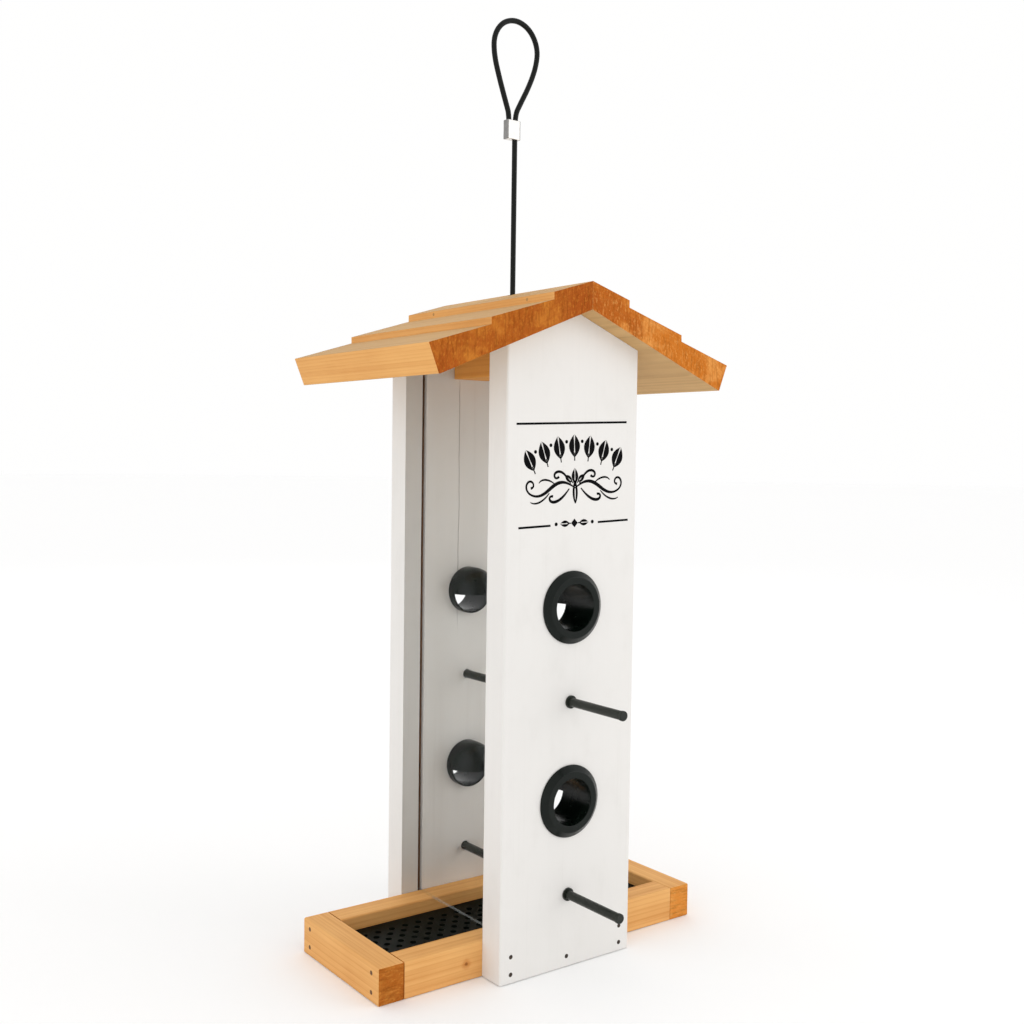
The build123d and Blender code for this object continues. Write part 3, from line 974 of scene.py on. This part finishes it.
@dataclass
class Boards(SubAssembly):
    """The two painted gable boards."""

    crack: Span = (0.165, 0.322)
    slack: float = 0.5 * MM
    paint_run: float = 2.6 * MM
    past_the_board: float = 1.0
    end_shadow: Colour = (0.66, 0.62, 0.58)
    # Inner faces: thinner paint, through which the wood shows, darkened further as painted shade
    # for the inside of the hopper.
    thin: Tones = ((0.735, 0.718, 0.68), (0.58, 0.55, 0.51))
    # The strips beside the windows: paint darkened as painted shade.
    shaded: Tones = ((0.60, 0.585, 0.55), (0.48, 0.455, 0.42))
    # Groove bottoms: bare wood, darker than the cedar elsewhere, as painted shade deep in the
    # groove.
    bare_wood_and_shade: Tones = ((0.42, 0.25, 0.15), (0.26, 0.14, 0.08))

    def build(self) -> None:
        """Makes both boards."""
        end = PaintedWood("painted_board_end", shadow=self.end_shadow)
        thin = dict(zip(("white", "shadow"), self.thin))
        outside = PaintedWood("painted_board")
        # The inner faces take the thin paint, which is also painted shade.
        inside = PaintedWood("thin_paint_in_painted_shade", **thin)
        checked = PaintedWood("thin_painted_board_checked", check=self.crack, **thin)
        for node, inward, finish in (("front_board", 1, inside), ("back_board", -1, checked)):
            zones, depth = self.zones(node, inward)
            Timber(node, Body.FEEDER, "painted_wood", Grain.Z, outside, end,
                   [(Vector((0, inward, 0)), finish)], zones, [depth]).build()

    def zones(self, node: str, inward: int) -> tuple[list[Zone], float]:
        """The strips beside the windows and the bare bottoms of the grooves that hold them, both
        darkened as painted shade.

        Args:
            node: The board.
            inward: The side of the board that faces the hopper, as 1 or -1 along Y.

        Returns:
            The zones, and the place along Y down to which paint has run into the grooves.
        """
        # Bare wood, darkened as painted shade, in the grooves behind the sheets.
        groove = Cedar("bare_groove_in_painted_shade", Grain.Z, Cut.LONG, light=self.bare_wood_and_shade[0], dark=self.bare_wood_and_shade[1])
        # Painted shade on the strips beside the windows.
        shaded = PaintedWood("shaded_strip", *self.shaded)
        board_low, board_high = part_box(node)
        inner = board_high.y if inward > 0 else board_low.y
        painted = inner - inward * self.paint_run
        near = Vector((0, self.slack, 0))
        made = []
        for side in (-1, 1):
            low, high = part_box("window_left" if side < 0 else "window_right")
            sheet_end = low.y if inward > 0 else high.y
            x_low, x_high = low.x - self.slack, high.x + self.slack
            ends = sorted((painted, sheet_end - inward * self.slack))
            made.append(Zone(Vector((x_low, ends[0], board_low.z)),
                             Vector((x_high, ends[1], board_high.z)), groove))
            strip = sorted((x_low if side < 0 else x_high, side * self.past_the_board))
            made.append(Zone(Vector((strip[0], inner, board_low.z)) - near,
                             Vector((strip[1], inner, board_high.z)) + near, shaded))
        return made, painted


@dataclass
class Tray(SubAssembly):
    """Rails, ends and the perforated floor."""

    arris: float = 0.15 * MM
    deep: Tones = ((0.42, 0.11, 0.010), (0.74, 0.32, 0.06))
    pale: Tones = ((0.74, 0.27, 0.045), (0.85, 0.45, 0.13))
    knot: Spot = (-0.0545, -0.0412, 0.0088, 0.0015)
    saw: Place = (0.12, 1.0, 0.4)

    def build(self) -> None:
        """Makes the four walls and dresses the floor."""
        self.wall("tray_rail_front", Grain.X, (0.0, -0.16, -0.09), self.deep, (self.knot,))
        self.wall("tray_rail_back", Grain.X, (0.0, 0.17, -0.07), self.deep)
        self.wall("tray_end_left", Grain.Y, (-0.2, 0.0, 0.08), self.deep)
        self.wall("tray_end_right", Grain.Y, (0.19, 0.0, 0.1), self.pale)
        dress_node("tray_floor", MouldedPlastic("floor_plastic", (0.003, 0.005, 0.0035),
                                                (0.008, 0.011, 0.007), roughness=0.55, shine=0.08))

    def wall(self, node: str, grain: Grain, pith: Place, tones: Tones,
             knots: tuple[Spot, ...] = ()) -> None:
        """Makes one wall of the tray.

        Args:
            node: The CAD node that it stands for.
            grain: The axis of its fibres.
            pith: Where its growth rings are centred.
            tones: The deep and the golden tone of its end grain.
            knots: Its knots, each as a centre and a radius.
        """
        heart, gold = tones
        along = Cedar(f"{node}_cedar", grain, Cut.LONG, pith, knots=knots)
        end = Cedar(f"{node}_cedar_end", grain, Cut.END, pith, heart=heart, gold=gold, saw=self.saw)
        Timber(node, Body.FEEDER, "cedar", grain, along, end, arris=self.arris).build()


@dataclass
class Roof(SubAssembly):
    """Two milled halves, with their grain from front to back."""

    ring_spacing: float = 1.7 * MM
    wander: float = 0.22 * MM
    edge: Tones = ((0.82, 0.43, 0.135), (0.62, 0.26, 0.06))
    # The faces turned up and down take darker, duller tones than the edges: painted shade on the
    # tops and under the roof.
    painted_shade_tops: Tones = ((0.60, 0.365, 0.145), (0.44, 0.23, 0.075))
    painted_shade_underside: Tones = ((0.62, 0.385, 0.165), (0.44, 0.26, 0.10))
    deep: Tones = ((0.40, 0.085, 0.006), (0.74, 0.28, 0.04))
    pale: Tones = ((0.60, 0.165, 0.014), (0.95, 0.46, 0.13))
    burl: tuple[Spot, ...] = (
        (-0.004, -0.0703, 0.356, 0.010), (0.012, -0.0703, 0.352, 0.012),
        (0.030, -0.0703, 0.343, 0.008), (-0.088, -0.0703, 0.318, 0.007))

    def build(self) -> None:
        """Makes both halves."""
        for node, pith, (heart, gold) in (("roof_left", (0.05, 0.0, 0.20), self.deep),
                                          ("roof_right", (-0.02, 0.0, 0.18), self.pale)):
            wood = {"pith": pith, "ring_spacing": self.ring_spacing}
            end = Cedar(f"{node}_end", Grain.Y, Cut.END, heart=heart, gold=gold, burl=self.burl,
                        **wood)
            edge, face, under = (
                Cedar(f"{node}_{part}", Grain.Y, Cut.LONG, light=light, dark=dark,
                      ring_strength=strength, **wood)
                for part, (light, dark), strength in (("edge", self.edge, Cedar.ring_strength),
                                                      ("painted_shade_tops", self.painted_shade_tops, 0.3),
                                                      ("painted_shade_underside", self.painted_shade_underside, 0.55)))
            # Painted shade: faces turned up or down get their darker finishes.
            facings = [(Vector((0, 0, 1)), face), (Vector((0, 0, -1)), under)]
            Timber(node, Body.ROOF, "cedar", Grain.Y, edge, end, facings,
                   wander=self.wander).build()


@dataclass
class Crossbar(SubAssembly):
    """The bar under the ridge, and the washer below it."""

    pith: Place = (0.09, 0.0, 0.26)
    light: Colour = (0.80, 0.36, 0.08)
    dark: Colour = (0.60, 0.20, 0.03)

    def build(self) -> None:
        """Makes the bar and dresses the washer."""
        finishes = [Cedar(f"crossbar_cedar_{cut.value}", Grain.Y, cut, self.pith, self.light,
                          self.dark) for cut in Cut]
        Timber("hanger_crossbar", Body.FEEDER, "cedar", Grain.Y, *finishes).build()
        zinc = Metal("zinc_washer", (0.62, 0.63, 0.65), (0.45, 0.46, 0.48), 0.38)
        dress_node("stop_washer", zinc)


# ---- Windows --------------------------------------------------------------------------------
@dataclass
class Windows(SubAssembly):
    """Two clear sheets with sawn edges."""

    edge_round: float = 0.25 * MM
    face_share: float = 0.9

    def build(self) -> None:
        """Makes both sheets."""
        finishes = [ClearSheet("clear_acrylic"), SheetEdge("acrylic_edge")]
        for node in ("window_left", "window_right"):
            piece = Workpiece.block(*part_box(node))
            piece.bevel(piece.sharp_edges(60.0), self.edge_round, 2)
            piece.bm.normal_update()
            for face in piece.bm.faces:
                face.material_index = int(abs(face.normal.x) < self.face_share)
            settle(piece.dress(f"{node}_sheet", finishes), Body.FEEDER, "clear_acrylic", node)


# ---- Seed ports and perches -----------------------------------------------------------------
@dataclass
class SeedPorts(SubAssembly):
    """Four moulded ports: a bevelled flange, a tube and a hood over its inner end."""

    bore: float = 12.7 * MM
    wall: float = 1.0 * MM
    flange: float = 19.6 * MM
    flange_thickness: float = 3.3 * MM
    bevel_width: float = 3.2 * MM
    bevel_depth: float = 2.5 * MM
    hood_drop: float = 1.5 * MM
    edge_round: float = 0.3 * MM
    hood_round: float = 0.2 * MM
    steps: int = 96
    ring_turn: float = 25.0
    hood_turn: float = 50.0

    def ring(self, back: float, inner: float) -> Workpiece:
        """The flange and the tube, turned in one.

        Args:
            back: Where the flange meets the board, along Y.
            inner: Where the tube ends inside the hopper.

        Returns:
            The ring, round the Y axis.
        """
        tube = self.bore + self.wall
        face = back - self.flange_thickness
        profile = [(self.bore, inner), (tube, inner), (tube, back), (self.flange, back),
                   (self.flange, face + self.bevel_depth), (self.flange - self.bevel_width, face),
                   (self.bore, face)]
        ring = Workpiece.lathe(profile, self.steps)
        ring.bevel(ring.sharp_edges(self.ring_turn), self.edge_round, 3)
        return ring

    def hood(self, inner: float) -> Workpiece:
        """A quarter of a hollow ball that sheds seed over the tube's inner end.

        Args:
            inner: Where the tube ends, along Y.

        Returns:
            The hood.
        """
        hood = Workpiece()
        tube = self.bore + self.wall
        turned = Matrix.Rotation(QUARTER_TURN, 4, "X")
        bmesh.ops.create_uvsphere(hood.bm, u_segments=self.steps, v_segments=self.steps // 2,
                                  radius=tube, matrix=turned)
        hood.cut(Vector((0, 0, 0)), Vector((0, -1, 0)), keep_below=True)
        hood.cut(Vector((0, 0, -self.hood_drop)), Vector((0, 0, -1)), keep_below=True)
        bmesh.ops.recalc_face_normals(hood.bm, faces=hood.bm.faces)
        outward = sum((f.normal.dot(f.calc_center_median()) for f in hood.bm.faces), 0.0)
        if outward < 0:
            bmesh.ops.reverse_faces(hood.bm, faces=hood.bm.faces)
        bmesh.ops.solidify(hood.bm, geom=hood.bm.faces, thickness=self.wall)
        hood.bevel(hood.sharp_edges(self.hood_turn), self.hood_round)
        return hood.transform(Matrix.Translation((0, inner, 0)))

    def build(self) -> None:
        """Makes the front ports, and the back ones as their mirror images."""
        finish = MouldedPlastic("port_plastic")
        for level in ("upper", "lower"):
            for face, side in (("front", 1), ("back", -1)):
                node = f"seed_port_{face}_{level}"
                low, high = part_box(node)
                flange_back = side * (low.y if side > 0 else high.y) + self.flange_thickness
                hood_end = side * (high.y if side > 0 else low.y)
                inner = hood_end - self.bore - self.wall
                port = self.ring(flange_back, inner)
                port.add(self.hood(inner))
                middle = low.z + self.flange
                place = Matrix.Translation((0, 0, middle)) @ Matrix.Diagonal((1, side, 1, 1))
                made = port.transform(place).dress(f"{node}_moulding", [finish])
                settle(made, Body.FEEDER, "port_plastic", node)


@dataclass
class Perches(SubAssembly):
    """The perch rods and their collars, which keep their CAD shapes."""

    def build(self) -> None:
        """Dresses the rods and the collars."""
        finish = MouldedPlastic("perch_plastic", (0.010, 0.013, 0.009), (0.03, 0.034, 0.026),
                                roughness=0.34, shine=0.3)
        for node in ("perch_upper", "perch_lower", "perch_collars"):
            dress_node(node, finish)


# ---- Nails ----------------------------------------------------------------------------------
@dataclass
class Nails(SubAssembly):
    """Every nail and brad, flush in its wood."""

    def build(self) -> None:
        """Dresses the nails by where they are."""
        steel = Metal("nail_steel", (0.045, 0.028, 0.018), (0.02, 0.012, 0.008), 0.6, 0.9, 0.2)
        rusty = Metal("rusty_nail", (0.17, 0.08, 0.035), (0.08, 0.035, 0.015), 0.7, 0.9, 0.1)
        filled = Cedar("filled_brad", Grain.Y, Cut.LONG, light=(0.52, 0.29, 0.10),
                       dark=(0.40, 0.19, 0.06))
        for node in ("board_nails_front", "board_nails_back"):
            dress_node(node, steel)
        for node in ("tray_end_nails_left", "tray_end_nails_right"):
            dress_node(node, rusty)
        dress_node("roof_brads", filled)
        dress_node("crossbar_brads", PaintedWood("painted_brad"))


# ---- Hanger ---------------------------------------------------------------------------------
@dataclass
class Hanger(SubAssembly):
    """The coated cable, with its loop and its two crimps."""

    diameter: float = 3.0 * MM
    length: float = 0.297
    lowest: float = 0.30663
    # The route's corners after its lower end, as X and height above the loop ferrule's top, in mm.
    corners: tuple[Span, ...] = (
        (0.0, -13.5), (0.0, 3.4), (3.2, 9.6), (9.8, 21.6), (14.3, 33.0), (15.4, 43.3),
        (10.2, 52.3), (0.7, 56.1), (-9.2, 53.1), (-15.1, 44.6), (-14.9, 34.0), (-11.0, 21.6),
        (-6.2, 8.6), (-4.0, 2.8), (-4.0, -9.0))
    crimp_pinch: float = 0.07 * MM
    crimp_corner: float = 0.75 * MM
    crimp_step: float = 0.8 * MM
    crimp_chamfer: float = 0.3 * MM
    ring_width: float = 1.0 * MM
    ring_places: tuple[float, ...] = (0.2, 0.42, 0.64)
    ferrule_top: float = field(init=False)

    def __post_init__(self) -> None:
        """Takes the ferrule's height from the frame."""
        self.ferrule_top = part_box("loop_ferrule")[1].z

    def route(self) -> list[Vector]:
        """The cable's control points, from its lower end round the loop into the ferrule."""
        loop = [Vector((x * MM, 0, self.ferrule_top + height * MM)) for x, height in self.corners]
        return [Vector((0, 0, self.lowest)), *loop]

    def cable(self) -> bpy.types.Object:
        """The cable as one smooth curve."""
        data = smooth_tube("hanging_cable", self.route(), self.diameter / 2, order=3, steps=(16, 6))
        data.materials.append(Jacket("cable_jacket").material())
        return linked("hanging_cable", data)

    def loop_crimp(self) -> bpy.types.Object:
        """The flat sleeve, pinched across its middle by the crimping tool."""
        low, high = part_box("loop_ferrule")
        middle = (low + high) / 2
        half_length = (high.z - low.z) / 2
        piece = Workpiece.block(low, high)
        upright = [e for e in piece.bm.edges
                   if abs((e.verts[0].co - e.verts[1].co).z) > half_length]
        piece.bevel(upright, self.crimp_corner, 4)
        piece.slice(Grain.Z.value, self.crimp_step)
        for vert in piece.bm.verts:
            from_middle = abs(vert.co.z - middle.z) / half_length
            press = self.crimp_pinch * math.cos(min(1.0, from_middle * 1.5) * QUARTER_TURN) ** 2
            vert.co.y += math.copysign(press, middle.y - vert.co.y)
        ends = [e for e in piece.sharp_edges(60.0)
                if abs(abs(e.verts[0].co.z - middle.z) - half_length) < SAME_PLACE]
        piece.bevel(ends, self.crimp_chamfer, 3)
        # The crimp's sides along X get painted shade.
        finish = Metal("bright_aluminium", (0.84, 0.82, 0.79), (0.62, 0.61, 0.59), 0.3, 0.5,
                       edges=(low.x, high.x))
        return piece.dress("loop_crimp", [finish])

    def stop_crimp(self) -> bpy.types.Object:
        """The round sleeve under the crossbar, with three pressed rings."""
        low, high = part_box("stop_ferrule")
        radius = (high.x - low.x) / 2
        waist = radius - self.crimp_chamfer
        length = high.z - low.z
        bore = self.diameter / 2
        profile = [(bore, 0.0), (waist, 0.0), (radius, self.crimp_chamfer)]
        for place in self.ring_places:
            start = length * place
            profile += [(radius, start), (waist, start + self.ring_width / 2),
                        (radius, start + self.ring_width)]
        profile += [(radius, length - self.crimp_chamfer), (waist, length), (bore, length)]
        piece = Workpiece.lathe(profile, 48)
        upright = Matrix.Translation((0, 0, low.z)) @ Matrix.Rotation(QUARTER_TURN, 4, "X")
        finish = Metal("crimp_aluminium", (0.66, 0.66, 0.67), (0.45, 0.45, 0.46), 0.32)
        return piece.transform(upright).dress("stop_crimp", [finish])

    def build(self) -> None:
        cable = self.cable()
        loop_crimp = settle(self.loop_crimp(), Body.FEEDER, "aluminium", "loop_ferrule")
        stop_crimp = settle(self.stop_crimp(), Body.FEEDER, "aluminium", "stop_ferrule")
        settle(cable, Body.FEEDER, "cable_jacket", "cable")


# ---- Ornament -------------------------------------------------------------------------------
@dataclass
class Stroke:
    """A printed line through a few points, with its own width at each."""

    points: Sequence[Span]
    widths: Sequence[float]

    def mesh(self, mirrored: bool, boldness: float) -> Workpiece:
        """The line as a flat sheet, in millimetres.

        Args:
            mirrored: Whether it is turned over left to right.
            boldness: What its widths are multiplied by.

        Returns:
            The stroke, flat in the XZ plane.
        """
        side = -1 if mirrored else 1
        points = [(side * x, 0, z) for x, z in self.points]
        data = smooth_tube("stroke", points, 0.5, order=min(4, len(points)), steps=(8, 2))
        for point, width in zip(data.splines[0].points, self.widths):
            point.radius = width * boldness
        holder = bpy.data.objects.new("stroke", data)
        mesh = bpy.data.meshes.new_from_object(holder)
        stroke = Workpiece()
        stroke.bm.from_mesh(mesh)
        bmesh.ops.scale(stroke.bm, vec=(1, 0, 1), verts=stroke.bm.verts)
        bmesh.ops.remove_doubles(stroke.bm, verts=stroke.bm.verts, dist=1e-4)
        bpy.data.objects.remove(holder)
        bpy.data.curves.remove(data)
        bpy.data.meshes.remove(mesh)
        return stroke


@dataclass
class Ornament(SubAssembly):
    """A generic printed panel: an arch of leaves over a scroll, between thin rules.

    Its sizes are in millimetres, its angles in degrees, and its places X and Z on the front board.
    """

    thickness: float = 0.06
    clearance: float = 0.01
    lean: float = 2.2
    boldness: float = 1.25
    rule_width: float = 0.9
    rules: tuple[Place, ...] = ((-38.0, 37.0, 293.0), (-38.0, -17.0, 239.5), (15.5, 37.0, 239.5))
    arch_radius: float = 68.0
    arch_middle: float = 281.0
    arch_step: float = 8.7
    berry_lift: float = 2.4
    berry_radius: float = 0.95
    leaf_height: float = 12.0
    leaf_width: float = 8.0
    leaf_fullness: float = 0.44
    rib_gap: float = 0.16
    tail: Span = (-0.8, 240.0)

    def leaf(self, height: float, width: float, turn: float, place: Span) -> Workpiece:
        """One leaf, pointed at both ends and notched along its rib.

        Args:
            height: Its length, in millimetres.
            width: Its width.
            turn: How far it leans, in degrees, clockwise.
            place: Its middle, as (x, z).

        Returns:
            The leaf.
        """
        leaf = Workpiece()
        for side in (-1, 1):
            half = Workpiece()
            bmesh.ops.create_circle(half.bm, cap_ends=True, segments=28, radius=0.5)
            for vert in half.bm.verts:
                x, along = vert.co.x, vert.co.y
                body = max(0.0, 1 - (2 * along) ** 2)
                bulge = (0.5 + x) * width * self.leaf_fullness * body ** 0.75
                out = side * (bulge + self.rib_gap * body + 0.05)
                vert.co = Vector((out, 0.0, along * height - 0.4 * x))
            leaf.add(half)
        stalk = Stroke([(0, height * share) for share in (-0.66, -0.5, -0.3)], [0.55, 0.5, 0.45])
        leaf.add(stalk.mesh(False, self.boldness))
        lean = Matrix.Rotation(math.radians(turn), 4, "Y")
        return leaf.transform(Matrix.Translation((place[0], 0, place[1])) @ lean)

    def dot(self, x: float, z: float, radius: float, sides: int = 20) -> Workpiece:
        """A round dot, or a diamond with four sides.

        Args:
            x: Its middle.
            z: Its middle's height.
            radius: Its radius.
            sides: How many sides it has.

        Returns:
            The dot.
        """
        dot = Workpiece()
        bmesh.ops.create_circle(dot.bm, cap_ends=True, segments=sides, radius=radius)
        upright = Matrix.Translation((x, 0, z)) @ Matrix.Rotation(QUARTER_TURN, 4, "X")
        return dot.transform(upright)

    def rule(self, left: float, right: float, z: float) -> Workpiece:
        """A straight rule with round ends, from left to right at a height."""
        ends = [(left, z), ((left + right) / 2, z), (right, z)]
        return Stroke(ends, [self.rule_width] * 3).mesh(False, self.boldness)

    def arch(self) -> list[Workpiece]:
        """Seven leaves on an arc, with a berry between each two."""
        middle = self.arch_middle - self.arch_radius
        made = []
        for k in range(-3, 4):
            angle = math.radians(k * self.arch_step)
            x, z = self.arch_radius * math.sin(angle), middle + self.arch_radius * math.cos(angle)
            turn = math.degrees(angle)
            made.append(self.leaf(self.leaf_height, self.leaf_width, turn, (x, z)))
        for k in range(-3, 3):
            angle = math.radians((k + 0.5) * self.arch_step)
            reach = self.arch_radius + self.berry_lift
            x, z = reach * math.sin(angle), middle + reach * math.cos(angle)
            made.append(self.dot(x, z, self.berry_radius))
        return made

    def scroll(self) -> list[Workpiece]:
        """A sprig with curled ends, the same on both sides of its middle."""
        strokes = [
            Stroke([(0, 258.6), (6, 262.6), (13, 262.0), (19, 257.0), (25, 254.6), (31.2, 256.4),
                    (33.2, 260.6), (30.8, 263.8), (27.4, 262.6), (27.6, 259.8), (29.6, 259.6)],
                   [0.5, 1.1, 1.7, 1.5, 1.0, 0.8, 0.9, 1.0, 0.8, 0.7, 1.2]),
            Stroke([(3, 261.0), (6.6, 266.8), (11.8, 268.6), (15.0, 265.6), (12.6, 263.4),
                    (10.8, 265.0)], [0.5, 1.0, 1.2, 1.0, 0.8, 1.1]),
            Stroke([(4, 258.4), (8.0, 254.0), (13.6, 251.0), (18.0, 252.4), (17.4, 255.2),
                    (15.0, 254.8)], [0.5, 1.1, 1.4, 1.1, 0.8, 1.1]),
            Stroke([(14, 261.4), (18.0, 264.2), (22.6, 264.4), (24.2, 262.0)],
                   [0.4, 1.0, 1.0, 0.3]),
            Stroke([(17.5, 256.6), (22, 251.6), (27.4, 250.6), (30.0, 252.4)],
                   [0.4, 1.0, 0.9, 0.3]),
            Stroke([(0, 250.4), (1.6, 254.4), (1.2, 259.0), (0, 262.6)], [0.4, 1.4, 1.3, 0.4]),
        ]
        made = [stroke.mesh(mirrored, self.boldness)
                for stroke in strokes for mirrored in (False, True)]
        made.append(self.leaf(8.4, 4.6, 0, (0, 265.0)))
        for side in (-1, 1):
            made.append(self.leaf(6.0, 3.2, side * 52, (side * 4.4, 263.8)))
        return made

    def tailpiece(self) -> list[Workpiece]:
        """The small row between the lower rules: a diamond with leaves and dots beside it."""
        x, z = self.tail
        made = [self.dot(x, z, 2.3, 4)]
        for side in (-1, 1):
            made.append(self.leaf(6.2, 3.4, side * 90, (x + side * 6.6, z)))
            made.append(self.dot(x + side * 12.4, z, 1.0))
        return made

    def build(self) -> None:
        """Prints the panel on the front board."""
        panel = Workpiece()
        rules = [self.rule(*rule) for rule in self.rules]
        for part in (*rules, *self.arch(), *self.scroll(), *self.tailpiece()):
            panel.add(part)
        middle = Matrix.Translation((0, 0, self.arch_middle))
        leant = Matrix.Rotation(math.radians(-self.lean), 4, "Y")
        panel.transform(middle @ leant @ middle.inverted())
        bmesh.ops.recalc_face_normals(panel.bm, faces=panel.bm.faces)
        made = bmesh.ops.extrude_face_region(panel.bm, geom=list(panel.bm.faces))
        raised = [v for v in made["geom"] if isinstance(v, bmesh.types.BMVert)]
        bmesh.ops.translate(panel.bm, vec=(0, -self.thickness, 0), verts=raised)
        bmesh.ops.recalc_face_normals(panel.bm, faces=panel.bm.faces)
        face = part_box("front_board")[0].y - self.clearance * MM
        panel.transform(Matrix.Translation((0, face, 0)) @ Matrix.Diagonal((MM, MM, MM, 1)))
        made = panel.dress("printed_ornament", [Ink("black_print")], weighted=False)
        settle(made, Body.FEEDER, "print_ink")


# ---- Stage ----------------------------------------------------------------------------------
@dataclass
class Stage(SubAssembly):
    """A pale round floor under soft lights, in plain pale surroundings."""

    radius: float = 14.0
    tone: Colour = (0.99, 0.99, 0.99)
    clearance: float = 0.4 * MM
    aim: Place = (0.0, 0.0, 0.22)
    surroundings: Colour = (1.0, 0.998, 0.995)
    brightness: float = 1.0

    # Each light's name, place, size and power.
    lights: tuple[tuple[str, Place, float, float], ...] = (
        ("key", (0.75, -0.75, 0.5), 0.6, 1.2),
        ("side", (-1.9, -0.5, 0.7), 1.1, 1.5),
        ("back", (0.9, 1.7, 1.2), 1.2, 1.0))

    def floor(self) -> None:
        """Makes the floor as one disc."""
        bm = bmesh.new()
        bmesh.ops.create_circle(bm, cap_ends=True, segments=96, radius=self.radius,
                                matrix=Matrix.Translation((0, 0, -self.clearance)))
        mesh = bpy.data.meshes.new("studio_floor")
        bm.to_mesh(mesh)
        bm.free()
        shader = Shader("studio_paper")
        paper = shader.surface(Base_Color=self.tone, Roughness=0.9, Specular_IOR_Level=0.1)
        mesh.materials.append(paper)
        made = linked("studio_floor", mesh)

    def light(self, name: str, place: Place, size: float, power: float) -> None:
        """Adds a square soft light.

        Args:
            name: Its name.
            place: Where it is.
            size: The side of its square.
            power: Its power in watts.
        """
        data = bpy.data.lights.new(name, "AREA")
        data.size = size
        data.energy = power
        made = linked(name, data)
        made.location = place
        made.rotation_mode = "QUATERNION"
        made.rotation_quaternion = (Vector(self.aim) - Vector(place)).to_track_quat("-Z", "Y")

    def build(self) -> None:
        """Makes the floor, the lights and the plain surroundings."""
        self.floor()
        for light in self.lights:
            self.light(*light)
        world = bpy.data.worlds.new("studio")
        bpy.context.scene.world = world
        world.use_nodes = True
        plain = world.node_tree.nodes["Background"]
        plain.inputs["Color"].default_value = (*self.surroundings, 1.0)
        plain.inputs["Strength"].default_value = self.brightness
        bpy.context.scene.view_settings.view_transform = "Standard"


@dataclass
class Camera(SubAssembly):
    """The viewpoint: a little above the tray, from the front and the left."""

    place: Place = (-0.4046, -0.55044, 0.27509)
    heading: float = 36.427
    tilt: float = -2.668
    roll: float = 0.773
    lens: float = 42.225
    sensor: float = 36.0
    clip: Span = (0.01, 30.0)

    def build(self) -> None:
        """Makes the camera and gives it to the scene."""
        data = bpy.data.cameras.new("camera")
        data.lens = self.lens
        data.sensor_width = self.sensor
        data.clip_start, data.clip_end = self.clip
        heading, tilt = math.radians(self.heading), math.radians(self.tilt)
        level = math.cos(tilt)
        ahead = Vector((math.sin(heading) * level, math.cos(heading) * level, math.sin(tilt)))
        made = linked("camera", data)
        made.location = self.place
        made.rotation_mode = "QUATERNION"
        rolled = Quaternion((0, 0, 1), math.radians(self.roll))
        made.rotation_quaternion = ahead.to_track_quat("-Z", "Y") @ rolled
        bpy.context.scene.camera = made


def corners(box: tuple[Vector, Vector]) -> list[list[float]]:
    """A box's two corners as plain lists."""
    return [list(corner) for corner in box]


def main() -> None:
    """Builds the scene."""
    logging.basicConfig(level=logging.INFO, format="%(name)s: %(message)s")
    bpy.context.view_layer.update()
    parts: list[SubAssembly] = [
        Camera(), Hanger(), Boards(), Ornament(), Tray(), Windows(), SeedPorts(), Perches(), Roof(),
        Crossbar(), Nails(), Stage()]
    for part in parts:
        part.build()
        log.info("%s is built", type(part).__name__)


if __name__ == "__main__":
    main()
